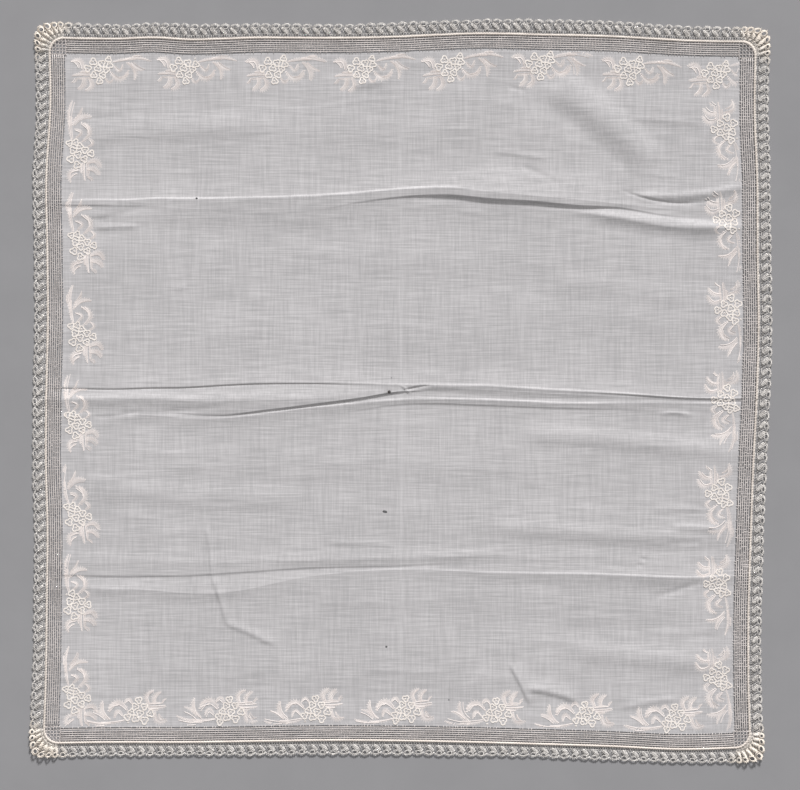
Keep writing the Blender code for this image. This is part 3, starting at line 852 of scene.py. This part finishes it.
def corner_net(turn):
    """Zigzags side + swing * triangle(distance / NET_TURN), kept where they lie in the corner.

    Every other one swings the opposite way.
    """
    centre = HEM_LINE_HALF - CORNER_RADIUS
    threads = round(2 * NET_REACH / NET_PITCH)
    steps = round(2 * NET_REACH / NET_TURN) * NET_STEPS
    along = np.linspace(-NET_REACH, NET_REACH, steps + 1)
    side = (np.arange(threads) - threads / 2 + 0.5) * NET_PITCH
    wave = np.abs((along / NET_TURN) % 2 - 1) - 0.5
    swing = NET_PITCH * NET_SWING * np.where(np.arange(threads) % 2, 1, -1)[:, None]
    across = side[:, None] + wave * swing + rng.normal(0, NET_WOBBLE, (threads, len(along)))
    # The chord runs at 45 degrees: along it (1, -1), and outwards from it (1, 1).
    a = centre + (across + along) / math.sqrt(2)
    b = centre + (across - along) / math.sqrt(2)
    u, v = turned(a, b, turn)
    paths = lay(u, v, BORDER_MIDDLE)
    starts, ends = paths[:, :-1].reshape(-1, 3), paths[:, 1:].reshape(-1, 3)
    mid_a = ((a[:, :-1] + a[:, 1:]) / 2).ravel()
    mid_b = ((b[:, :-1] + b[:, 1:]) / 2).ravel()
    past = np.hypot(np.maximum(mid_a - centre, 0), np.maximum(mid_b - centre, 0))
    inside = (past < CORNER_RADIUS) & (np.minimum(mid_a, mid_b) > BORDER_END - NET_OVERLAP)
    pieces = np.stack([starts[inside], ends[inside]], axis=1)
    radius = NET_RADIUS * rng.uniform(*NET_UNEVEN, (len(pieces), 1))
    return sweep(pieces, radius, sides=4, flat=0.8)


net_parts = [corner_net(turn) for turn in range(4)]
corner_nets = make_piece("corner_nets", net_parts, PULLED_THREAD)

# %% [markdown]
# ## The rolled and whipped hem
# The raw edge is rolled between finger and thumb and whipped over with thread, which leaves a fine
# cord with slanting stitches, pressed a little flat. It is one tube round the square whose surface
# has a ridge for each stitch, running round it as a screw does. It is thicker at the bulky
# corners.

# %% Rolled hem
STITCH_PITCH = 1.5 * MM
STEPS_PER_STITCH = 5
HEM_SIDES = 7
STITCH_HEIGHT = 0.16  # share of the hem's radius
HEM_FLAT = 0.65  # a pressed roll is lower than it is wide
HEM_SIDE, HEM_CORNER = 0.95, 0.22  # share of the radius on a side, and how much more in a corner
HEM_UNEVEN = (0.05, 90)  # share of the radius, wavelength in steps


def hem_course(step):
    """Even steps round the hem line, as (u, v), with a value of 1 in a corner and 0 on a side."""
    straight = HEM_LINE_HALF - CORNER_RADIUS
    side_steps = round(2 * straight / step)
    turn_steps = round(CORNER_RADIUS * math.pi / 2 / step)
    along = np.linspace(-straight, straight, side_steps, endpoint=False)
    angle = math.pi / 2 * (1 - np.arange(turn_steps) / turn_steps)
    out = np.full(side_steps, HEM_LINE_HALF)
    a = np.concatenate([along, straight + CORNER_RADIUS * np.cos(angle)])
    b = np.concatenate([out, straight + CORNER_RADIUS * np.sin(angle)])
    bulk = np.concatenate([np.zeros(side_steps), np.sin(2 * angle)])
    sides = [turned(a, b, turn) for turn in range(4)]
    u, v = (np.concatenate([side[axis] for side in sides]) for axis in range(2))
    return u, v, np.tile(bulk, 4)


def make_hem():
    """A flattened closed tube, whose radius goes as 1 + stitch * cos(along * turns - around).

    Its middle never lies lower than its radius, so it rests on the floor.
    """
    u, v, bulk = hem_course(STITCH_PITCH / STEPS_PER_STITCH)
    steps = len(u)
    radius = HEM_RADIUS * (HEM_SIDE + HEM_CORNER * bulk + drift(np.arange(steps), *HEM_UNEVEN))
    paths = lay(u, v, HEM_RADIUS)[None]
    paths[..., 2] = np.maximum(paths[..., 2], HEM_RADIUS)
    points, faces = sweep(paths, radius, sides=HEM_SIDES, flat=HEM_FLAT, closed=True)
    stitches = round(steps / STEPS_PER_STITCH)
    around = np.arange(HEM_SIDES) / HEM_SIDES
    phase = math.tau * (np.arange(steps)[:, None] * stitches / steps - around)
    middle = np.repeat(paths[0], HEM_SIDES, axis=0)
    points = middle + (points - middle) * (1 + STITCH_HEIGHT * np.cos(phase)).reshape(-1, 1)
    return points, faces


rolled_hem = make_piece("rolled_hem", [make_hem()], WHIPPED_HEM)

# %% [markdown]
# ## The lace edging
# It is a narrow bobbin lace. The same small motif comes about 300 times: an eyelet under a scallop
# with tiny picots, then a slanting leaf of cloth stitch, with fine net between and a row of
# footing holes at the hem. The motif is drawn once, in its own two directions: s along the lace,
# from one repeat to the next, and w from the footing (0) out to the picots (1). Every repeat is
# then bent to its place round the hem. All repeats of a side are one array, so each can differ a
# little from the next.

# %% Lace: where a repeat goes
SIDE_REPEATS = 67
CORNER_REPEATS = 7  # gathered into a quarter turn
EDGE_EASE = 0.05  # repeats are a little closer near the corners
PLEATS = 7  # small gathers at each corner
PLEAT_SWING = 1.2  # degrees that a gather folds back
PLEAT_LIFT = 0.9 * MM
PLEAT_OPENING = 2.5  # the gathers open out over the lace's width divided by this
PLEAT_ENDS = 8  # and the first and last fade over an eighth of the corner
CORNER_THREAD = 1.6  # threads crowd together there, so each is drawn this much thicker
LACE_INNER = HEM_RADIUS + 0.1 * MM
LACE_BASE = 0.55 * MM


def lace_point(turn, t, w, above):
    """Lace coordinates to a place. t counts repeats from the side's start, w runs 0 to 1 outwards.

    On the side: hem line + outwards * (inner + (width - inner) * w). In the corner the same along a
    quarter circle, whose gathers fold back and forth as sin(gathers) and rise as 1 - cos(gathers).
    """
    name, sign = SIDES[turn]
    next_name, next_sign = SIDES[(turn + 1) % 4]
    straight = HEM_LINE_HALF - CORNER_RADIUS
    share = np.clip(t / SIDE_REPEATS, 0, 1)
    share = share - EDGE_EASE * np.sin(math.tau * share) / math.tau
    along = straight * (2 * share - 1)
    width = through(LACE_WIDTH, name, sign * along)
    q = np.clip((t - SIDE_REPEATS) / CORNER_REPEATS, 0, 1)
    gather = math.tau * PLEATS * q
    open_out = np.clip(w * PLEAT_OPENING, 0, 1)
    ends = np.clip(np.minimum(q, 1 - q) * PLEAT_ENDS, 0, 1)
    angle = np.radians(90 * (1 - q) + PLEAT_SWING * np.sin(gather) * open_out * ends)
    power = CORNER_SQUARENESS
    square = (np.abs(np.cos(angle)) ** power + np.abs(np.sin(angle)) ** power) ** (-1 / power)
    end_width = through(LACE_WIDTH, next_name, np.array(-next_sign * straight))
    corner_width = (CORNER_RADIUS + width * (1 - q) + end_width * q) * square - CORNER_RADIUS
    in_corner = q > 0
    reach = LACE_INNER + (np.where(in_corner, corner_width, width) - LACE_INNER) * w
    way_a, way_b = np.where(in_corner, np.cos(angle), 0), np.where(in_corner, np.sin(angle), 1)
    base_a = np.where(in_corner, straight + CORNER_RADIUS * np.cos(angle), along)
    base_b = np.where(in_corner, straight + CORNER_RADIUS * np.sin(angle), HEM_LINE_HALF)
    u, v = turned(base_a + way_a * reach, base_b + way_b * reach, turn)
    pleat = PLEAT_LIFT * (0.5 - 0.5 * np.cos(gather)) * open_out * ends
    return lay(u, v, LACE_BASE + above + pleat)


# %% [markdown]
# The motif's own threads come next. Each function gives one kind of thread for every repeat at
# once, as arrays of s and w with the shape (repeats, threads, points). Sizes are shares of the 5.6
# mm repeat and of the lace's 7.5 mm width.

# %% Lace: the threads of one repeat
EYELET_OUT = 0.76  # w of the eyelets' middles, and of the scallops' feet
SCALLOP_HEIGHT = 0.18
SCALLOP_POWER = 0.7
LEAF_START = (0.04, 0.66)  # (s, w) of the cloth-stitch leaf's end at the eyelet
LEAF_RUN = (0.62, -0.42)
LEAF_SPREAD = (0.66, 0.62)
LEAF_HALF = 0.145
LEAF_POWER = 0.6
LACE_UNEVEN = (0.85, 1.15)  # for the leaves' breadth and the threads' radius
LACE_STRAY = 0.02  # how far eyelets, leaves and bars stray, in repeats
EYELET_UNEVEN = (0.85, 1.12)
EYELET_TILT = (0.05, 0.12)  # usual tilt, and how much it differs
NET_STRAY = 0.015
NET_SLANT = 0.34
NET_RISE, NET_FALL = (0.2, 0.44), (0.64, -0.47)  # w at the start and how far it goes
FOOT_LINES = ((0.02,), (0.2,))
FOOT_BAR = (0.0, 0.21)
PICOTS = (0.14, 0.32, 0.5, 0.68, 0.86)
PICOT_S = (-0.035, -0.015, 0.02, 0.035)
PICOT_W = (-0.2, 1.0, 1.0, -0.2)  # in picot heights
PICOT_STRAY = 0.025
PICOT_HEIGHT = (0.02, 0.075)


def scallop(s):
    """The outer edge: w = foot + height * |sin(pi s)|^power, one hump over each eyelet."""
    return EYELET_OUT + SCALLOP_HEIGHT * np.abs(np.sin(math.pi * s)) ** SCALLOP_POWER


def eyelet_rings(repeats, half_s, half_w):
    """Ovals centre + (half_s cos, half_w sin), each a little bigger, smaller or tilted."""
    angle = math.tau * np.arange(10) / 10
    size = rng.uniform(*EYELET_UNEVEN, (repeats, 2, 1))
    tilt = rng.normal(*EYELET_TILT, (repeats, 1))
    centre = rng.normal(0, LACE_STRAY, (repeats, 2, 1))
    s = 0.5 + centre[:, 0] + half_s * size[:, 0] * np.cos(angle)
    w = EYELET_OUT + centre[:, 1] * 0.5 + half_w * size[:, 1] * np.sin(angle)
    w = w + tilt * (s - 0.5) * 0.5
    return s[:, None], w[:, None]


def bulge(t, blunt):
    """sin(pi (blunt + (1 - 2 blunt) t)): grows to 1 and back, and is a little open at its ends."""
    return np.sin(math.pi * (blunt + (1 - 2 * blunt) * t))


def leaf_threads(repeats):
    """Cloth-stitch leaf: five threads along it, spread as bulge^power, and five across."""
    lens = LEAF_HALF * rng.uniform(*LACE_UNEVEN, (repeats, 1, 1))
    shift = rng.normal(0, LACE_STRAY, (repeats, 1, 1))

    def on_leaf(t, sideways):
        spread = lens * sideways * bulge(t, 0.1) ** LEAF_POWER
        s = LEAF_START[0] + LEAF_RUN[0] * t + LEAF_SPREAD[0] * spread + shift
        return s, LEAF_START[1] + LEAF_RUN[1] * t + LEAF_SPREAD[1] * spread

    lengthwise = on_leaf(np.linspace(0, 1, 7), np.linspace(-1, 1, 5)[:, None])
    return lengthwise, on_leaf(np.linspace(0.12, 0.9, 5)[:, None], np.linspace(-1.08, 1.08, 3))


def net_threads(repeats):
    """Fine net: four threads slanting each way between the footing and the leaves."""
    t = np.linspace(0, 1, 3)
    s = np.arange(4)[:, None] / 4 + NET_SLANT * t
    wobble = rng.normal(0, NET_STRAY, (2, repeats, 4, 3))
    rising = (s + wobble[0], NET_RISE[0] + NET_RISE[1] * t + wobble[1])
    return rising, (s + wobble[1], NET_FALL[0] + NET_FALL[1] * t + wobble[0])


def footing(repeats):
    """Two threads along the hem, and four bars between them that leave the footing holes."""
    bars = (np.arange(4)[:, None] + 0.5) / 4 + rng.normal(0, LACE_STRAY, (repeats, 4, 1))
    bars = bars + rng.normal(0, LACE_STRAY, (repeats, 4, 2))
    lines_s = np.broadcast_to([0, 0.5, 1.0], (repeats, 2, 3))
    return (lines_s, np.array(FOOT_LINES)), (bars, np.array(FOOT_BAR))


def picots(repeats):
    """Five tiny loops on each scallop, 0.2 to 0.6 mm high."""
    foot = np.array(PICOTS)[:, None] + rng.normal(0, PICOT_STRAY, (repeats, 5, 1))
    height = rng.uniform(*PICOT_HEIGHT, (repeats, 5, 1))
    return foot + np.array(PICOT_S), scallop(foot) + height * np.array(PICOT_W)


# %% Lace: one side with its corner
THREADS = {
    # radius in mm, height above the lace's base in mm, flatness
    "ring": (0.18, 0.2, 0.8),
    "edge": (0.17, 0.12, 0.7),
    "picot": (0.11, 0.12, 1.0),
    "leaf": (0.18, 0.12, 0.6),
    "cross": (0.15, 0.2, 0.8),
    "net": (0.1, 0.0, 0.8),
    "foot": (0.14, 0.05, 0.8),
    "bar": (0.15, 0.0, 0.8),
}
EYELET_RINGS = ((0.225, 0.12), (0.3, 0.172))  # half sizes along s and w
EDGE_LINES = ((0.0,), (0.055,))  # how far inside the scallop's edge its two threads run
WIDTH_WAVES = ((0.02, 1.7, 1), (0.015, 0.61, 2))  # share of the width, turn a repeat, start a side


def lace_side(turn):
    """All threads of one side and the corner after it."""
    repeats = SIDE_REPEATS + CORNER_REPEATS
    number = np.arange(repeats)[:, None, None]
    edge_s = np.linspace(0, 1, 9)
    edge_w = scallop(edge_s) - np.array(EDGE_LINES)
    leaf, cross = leaf_threads(repeats)
    rising, falling = net_threads(repeats)
    lines, bars = footing(repeats)
    drawn = [("ring", *eyelet_rings(repeats, *half_sizes)) for half_sizes in EYELET_RINGS]
    drawn += [
        ("edge", np.broadcast_to(edge_s, (repeats, 2, 9)), edge_w),
        ("picot", *picots(repeats)),
        ("leaf", *leaf),
        ("cross", *cross),
        ("net", *rising),
        ("net", *falling),
        ("foot", *lines),
        ("bar", *bars),
    ]
    parts = []
    for kind, s, w in drawn:
        radius, above, flat = THREADS[kind]
        s, w = np.broadcast_arrays(s, w)
        t = number + s
        wave = sum(size * np.sin(t * pace + start * turn) for size, pace, start in WIDTH_WAVES)
        w = w * (1 + wave)
        paths = lace_point(turn, t, w, above * MM)
        paths = paths.reshape(-1, paths.shape[-2], 3)
        thick = radius * MM * rng.uniform(*LACE_UNEVEN, (len(paths), 1))
        in_corner = t.reshape(len(paths), -1).mean(axis=1, keepdims=True) > SIDE_REPEATS
        thick = thick * np.where(in_corner, CORNER_THREAD, 1)
        parts.append(sweep(paths, thick, flat=flat, closed=kind == "ring"))
    return parts


lace_pieces = [
    make_piece("lace_" + name, lace_side(turn), LACE_THREAD)
    for turn, (name, _) in enumerate(SIDES)
]
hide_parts("lace_edging")

# %% [markdown]
# ## The embroidered sprigs
# Inside the border runs a row of 29 sprigs: a bunch of small three-lobed flowers between curved
# leaves, with a tail that points on round the cloth. One sprig is laid out below in millimetres, x
# going on clockwise and y outwards. Flowers are corded outlines, so each is one closed thread with
# three lobes. Leaves are satin stitch: slanting stitches side by side across a bowed line, so that
# a leaf's edges look combed, and the broader ones have stitches that fan out on their outer side.

# %% The sprig's design
FLOWERS = (
    # x, y and radius in mm, turn in degrees
    (-6.2, 0.9, 1.75, 20),
    (-3.1, 4.7, 1.8, 90),
    (-2.9, -2.7, 1.6, -30),
    (-0.6, 1.0, 1.7, 75),
    (0.3, -6.1, 1.6, 100),
    (1.7, 3.8, 1.7, 40),
    (2.1, -2.6, 1.65, 60),
    (4.1, 0.3, 1.55, 10),
    (5.5, 6.2, 1.5, 80),
    (6.1, 3.0, 1.6, -20),
)
LEAVES = (
    # x and y at the stalk, x and y at the tip, bow to the left and breadth in mm, 1 for a fan
    (-8.8, 0.2, -15.2, 4.4, -3.2, 1.9, 1),
    (-10.8, 1.0, -13.6, 4.4, -0.8, 1.3, 0),
    (-14.6, -3.2, -3.4, -2.8, 0.7, 1.4, 0),
    (-12.4, -4.9, -4.8, -4.2, -0.4, 1.2, 0),
    (-10.6, -1.2, -5.0, -1.6, 0.5, 1.2, 0),
    (-8.4, -4.2, -11.4, -10.8, 1.8, 2.2, 1),
    (-5.2, -4.4, -7.2, -11.4, 2.6, 2.1, 1),
    (-12.6, -4.8, -14.6, -7.4, 0.6, 1.2, 0),
    (7.6, 4.8, 20.0, 6.2, 0.8, 1.4, 0),
    (15.0, 6.6, 28.4, 5.2, 1.1, 1.6, 0),
    (18.6, 7.8, 23.4, 8.0, 0.3, 1.0, 0),
    (6.6, -1.0, 16.4, 0.0, -4.4, 2.0, 1),
    (8.6, 2.4, 13.2, 3.4, -3.2, 1.7, 0),
    (15.6, 4.6, 20.0, -5.0, 2.2, 2.0, 1),
    (18.2, 4.4, 25.0, 0.0, -1.0, 1.5, 0),
    (3.8, -4.4, 8.0, -4.8, -2.2, 1.7, 0),
    (11.4, -3.6, 16.4, -1.6, -1.2, 1.3, 1),
)

# Where each sprig's flowers lie, as (clockwise along the side, outwards from the middle), in mm.
SPRIGS = {
    "top": (
        (-167.1, 176.7), (-119.8, 177.2), (-70.8, 176.3), (-22.3, 176.3),
        (26.2, 175.7), (75.7, 177.1), (124.8, 175.8), (172.5, 175.7),
    ),
    "right": (
        (-146.1, 177.6), (-96.6, 177.5), (-46.9, 178.0), (2.2, 176.9),
        (53.8, 175.9), (103.3, 176.4), (154.4, 176.9),
    ),
    "bottom": (
        (-153.7, 177.0), (-104.2, 177.4), (-55.1, 177.3), (-5.0, 177.0),
        (44.6, 177.3), (92.0, 176.9), (142.1, 177.2),
    ),
    "left": (
        (-170.0, 176.6), (-118.1, 177.4), (-69.6, 177.2), (-18.9, 176.6),
        (29.7, 175.3), (79.9, 174.8), (130.6, 176.3),
    ),
}
SPRIG_THREADS = {
    # radius in mm, height above the middle of the cloth in mm, sides, flatness. A stitch has three
    # radii and heights, one for each of its points, and its radii are in stitch spacings.
    "petal": (0.46, 0.04, 4, 0.35),
    "eye": (0.2, 0.05, 3, 0.6),
    "stitch": ((0.7, 1.05, 0.65), (-0.02, 0.03, -0.02), 3, 0.22),
    "stem": (0.26, 0.05, 3, 0.4),
}
FLOWER_POINTS = 24
EYE_POINTS = 8
EYE_RADIUS = 0.36
LOBES = (0.22, -0.06)  # of a flower's radius
LEAF_STITCHES = 20
LEAF_FULLNESS = 1.3  # the floss spreads the drawn breadths by this much
FAN_REACH = 0.35  # how much further out a fan's stitches go, in half breadths
STITCH_SLANT = 0.45  # how far a stitch leans along its leaf, as a share of its way across
STITCH_MIDDLE = 0.2  # half breadths from the leaf's line to a stitch's middle point
STITCH_UNEVEN = 0.22  # alternately longer and shorter by this
STITCH_SPACING = 0.42  # radius, as a share of the distance to the next stitch
STEM_ASIDE = 0.8  # in half breadths
SPRIG_LEAN_DEG, SPRIG_SIZE = 1.5, 0.02  # how much the sprigs differ
BORDER_GAP = 0.5 * MM


# %% Sprig threads
def place_on_side(x, y, side):
    """Points of the sprig, in mm, on every sprig of a side at once, as (u, v)."""
    spots = np.array(SPRIGS[side])
    shape = (len(spots),) + (1,) * x.ndim
    lean = np.radians(rng.normal(0, SPRIG_LEAN_DEG, shape))
    size = rng.normal(1.0, SPRIG_SIZE, shape)
    far = spots[:, 0].reshape(shape) + size * (x * np.cos(lean) - y * np.sin(lean))
    out = spots[:, 1].reshape(shape) + size * (x * np.sin(lean) + y * np.cos(lean))
    turn = [name for name, _ in SIDES].index(side)
    return turned(far * MM, out * MM, turn)


def flower_paths():
    """Trefoils, r = radius (1 + lobe cos 3a + lobe cos 6a), and a small round eye in each."""
    x, y, radius, turn_deg = np.array(FLOWERS).T[..., None]
    a = math.tau * np.arange(FLOWER_POINTS) / FLOWER_POINTS
    r = radius * (1 + LOBES[0] * np.cos(3 * a) + LOBES[1] * np.cos(6 * a))
    turned_a = a + np.radians(turn_deg)
    petals = (x + r * np.cos(turned_a), y + r * np.sin(turned_a))
    a = math.tau * np.arange(EYE_POINTS) / EYE_POINTS
    return petals, (x + EYE_RADIUS * np.cos(a), y + EYE_RADIUS * np.sin(a))


def leaf_paths():
    """Satin stitches: three-point threads across each leaf's line, 4 bow t (1 - t) off its chord.

    They reach half the breadth * bulge^0.5 to each side, alternately longer and shorter, and
    further on the bowed side where the leaf is a fan. Their spacing, which gives their radius,
    comes second. Last comes a stem cord that follows the other side.
    """
    x_start, y_start, x_end, y_end, bow, breadth, fan = np.array(LEAVES).T[..., None]
    t = np.linspace(0, 1, LEAF_STITCHES)
    run_x, run_y = x_end - x_start, y_end - y_start
    bowed = bow * 4 * t * (1 - t) / np.hypot(run_x, run_y)
    x = x_start + run_x * t - run_y * bowed
    y = y_start + run_y * t + run_x * bowed
    way_x, way_y = np.gradient(x, axis=1), np.gradient(y, axis=1)
    norm = np.hypot(way_x, way_y)
    way_x, way_y = way_x / norm, way_y / norm
    outer = np.sign(bow)
    uneven = 1 + STITCH_UNEVEN * np.where(np.arange(LEAF_STITCHES) % 2, 1, -1)
    half = LEAF_FULLNESS * breadth / 2 * bulge(t, 0.05) ** 0.5
    longer = half * uneven * (1 + FAN_REACH * fan)
    reach = np.stack([-half, STITCH_MIDDLE * half, longer], axis=-1)
    across_x = (-way_y * outer + STITCH_SLANT * way_x)[..., None]
    across_y = (way_x * outer + STITCH_SLANT * way_y)[..., None]
    stitches = (x[..., None] + across_x * reach, y[..., None] + across_y * reach)
    aside = STEM_ASIDE * half * outer
    stems = (x + aside * way_y, y - aside * way_x)
    return stitches, STITCH_SPACING * norm[..., None], stems


# %% Make the embroidery
def stitched(kind, x, y, side, spacing=1.0):
    """Sweeps threads on every sprig of a side, but for those that would reach the border."""
    radius, above, sides, flat = SPRIG_THREADS[kind]
    u, v = place_on_side(x, y, side)
    steps = u.shape[-1]
    paths = lay(u, v, CLOTH_MIDDLE + np.array(above) * MM).reshape(-1, steps, 3)
    radius = np.broadcast_to(spacing * np.array(radius) * MM, u.shape).reshape(-1, steps)
    furthest = np.maximum(np.abs(u), np.abs(v)).reshape(-1, steps).max(axis=1)
    clear = furthest < GROUND_HALF - BORDER_GAP
    return sweep(paths[clear], radius[clear], sides, flat, closed=kind in ("petal", "eye"))


petals, eyes = flower_paths()
stitches, spacing, stems = leaf_paths()
flower_parts = []
leaf_parts = []
for side in SPRIGS:
    flower_parts += [stitched("petal", *petals, side), stitched("eye", *eyes, side)]
    leaf_parts += [stitched("stitch", *stitches, side, spacing), stitched("stem", *stems, side)]
embroidered_flowers = make_piece(
    "embroidered_flowers", flower_parts, FLOWER_FLOSS, smooth=False
)
embroidered_leaves = make_piece(
    "embroidered_leaves", leaf_parts, LEAF_FLOSS, smooth=False
)

# %% [markdown]
# ## The sheet as a whole
# The linen was cut about 389.5 mm square, which is the hem line's square and the roll. It lies
# on the floor, and every piece worked on it or whipped to it rides on the same body as the sheet.

# %% [markdown]
# ## Floor, light and camera
# White work shows best on a plain floor a little darker than itself. Creases only read when light
# comes along the cloth, so a soft far key stands low beyond the top edge, a little to the right,
# and a large lamp overhead keeps the shadows gentle. The camera looks straight down through a long
# lens, which keeps the sides square.

# %% Floor
FLOOR_HALF = 3.0
FLOOR_GAP = 0.02 * MM  # keeps the floor from sharing a plane with the cloth's lowest points
board, tree, shader = new_finish("matt studio board", 0.9)
grain = streaks(tree, 40 * MM, 40 * MM)
colour = ramp(tree, grain, [(0.3, linear("8C8B8D")), (0.7, linear("908F91"))])
tree.links.new(colour, shader.inputs["Base Color"])
signs = ((-1, -1), (1, -1), (1, 1), (-1, 1))
corners = [(x * FLOOR_HALF, y * FLOOR_HALF, -FLOOR_GAP) for x, y in signs]
floor_mesh = bpy.data.meshes.new("floor")
floor_mesh.from_pydata(corners, [], [(0, 1, 2, 3)])
floor_mesh.materials.append(board)
floor = new_object("floor", floor_mesh)
print("floor:", 2 * FLOOR_HALF, "m square")

# %% Light
KEY_DIRECTION = (0.22, 1.0, 0.43)  # from the cloth towards the low, far key light
KEY_STRENGTH = 5.1
KEY_ANGLE_DEG = 9.0
OVERHEAD_PLACE = (-0.2, 0.1, 1.9)
OVERHEAD_SIZE = 1.6
OVERHEAD_POWER = 9.5
WORLD_STRENGTH = 0.3


def add_lamp(name, kind, place, energy):
    """A lamp at place that faces the middle of the cloth."""
    lamp = bpy.data.lights.new(name, kind)
    lamp.energy = energy
    holder = new_object(name, lamp)
    holder.location = place
    holder.rotation_euler = (-Vector(place)).to_track_quat("-Z", "Y").to_euler()
    return lamp


add_lamp("key", "SUN", KEY_DIRECTION, KEY_STRENGTH).angle = math.radians(KEY_ANGLE_DEG)
overhead = add_lamp("overhead", "AREA", OVERHEAD_PLACE, OVERHEAD_POWER)
overhead.shape = "SQUARE"
overhead.size = OVERHEAD_SIZE
world = bpy.data.worlds.new("studio")
world.use_nodes = True
world.node_tree.nodes["Background"].inputs["Color"].default_value = linear("EEEEEE")
world.node_tree.nodes["Background"].inputs["Strength"].default_value = WORLD_STRENGTH
bpy.context.scene.world = world
bpy.context.scene.view_settings.view_transform = "Standard"
key_height = math.asin(Vector(KEY_DIRECTION).normalized().z)
print("key light, degrees up:", round(math.degrees(key_height), 1))

# %% Camera
LENS_MM = 85.0
SENSOR_MM = 36.0
VIEW_WIDTH = 440 * MM
AIM = (-0.47 * MM, -2.16 * MM)  # the middle of the view, a little below the cloth's own middle
camera_data = bpy.data.cameras.new("camera")
camera_data.lens = LENS_MM
camera_data.sensor_width = SENSOR_MM
camera = new_object("camera", camera_data)
camera.location = (*AIM, VIEW_WIDTH * LENS_MM / SENSOR_MM)
bpy.context.scene.camera = camera
print("camera height, m:", round(camera.location.z, 3))
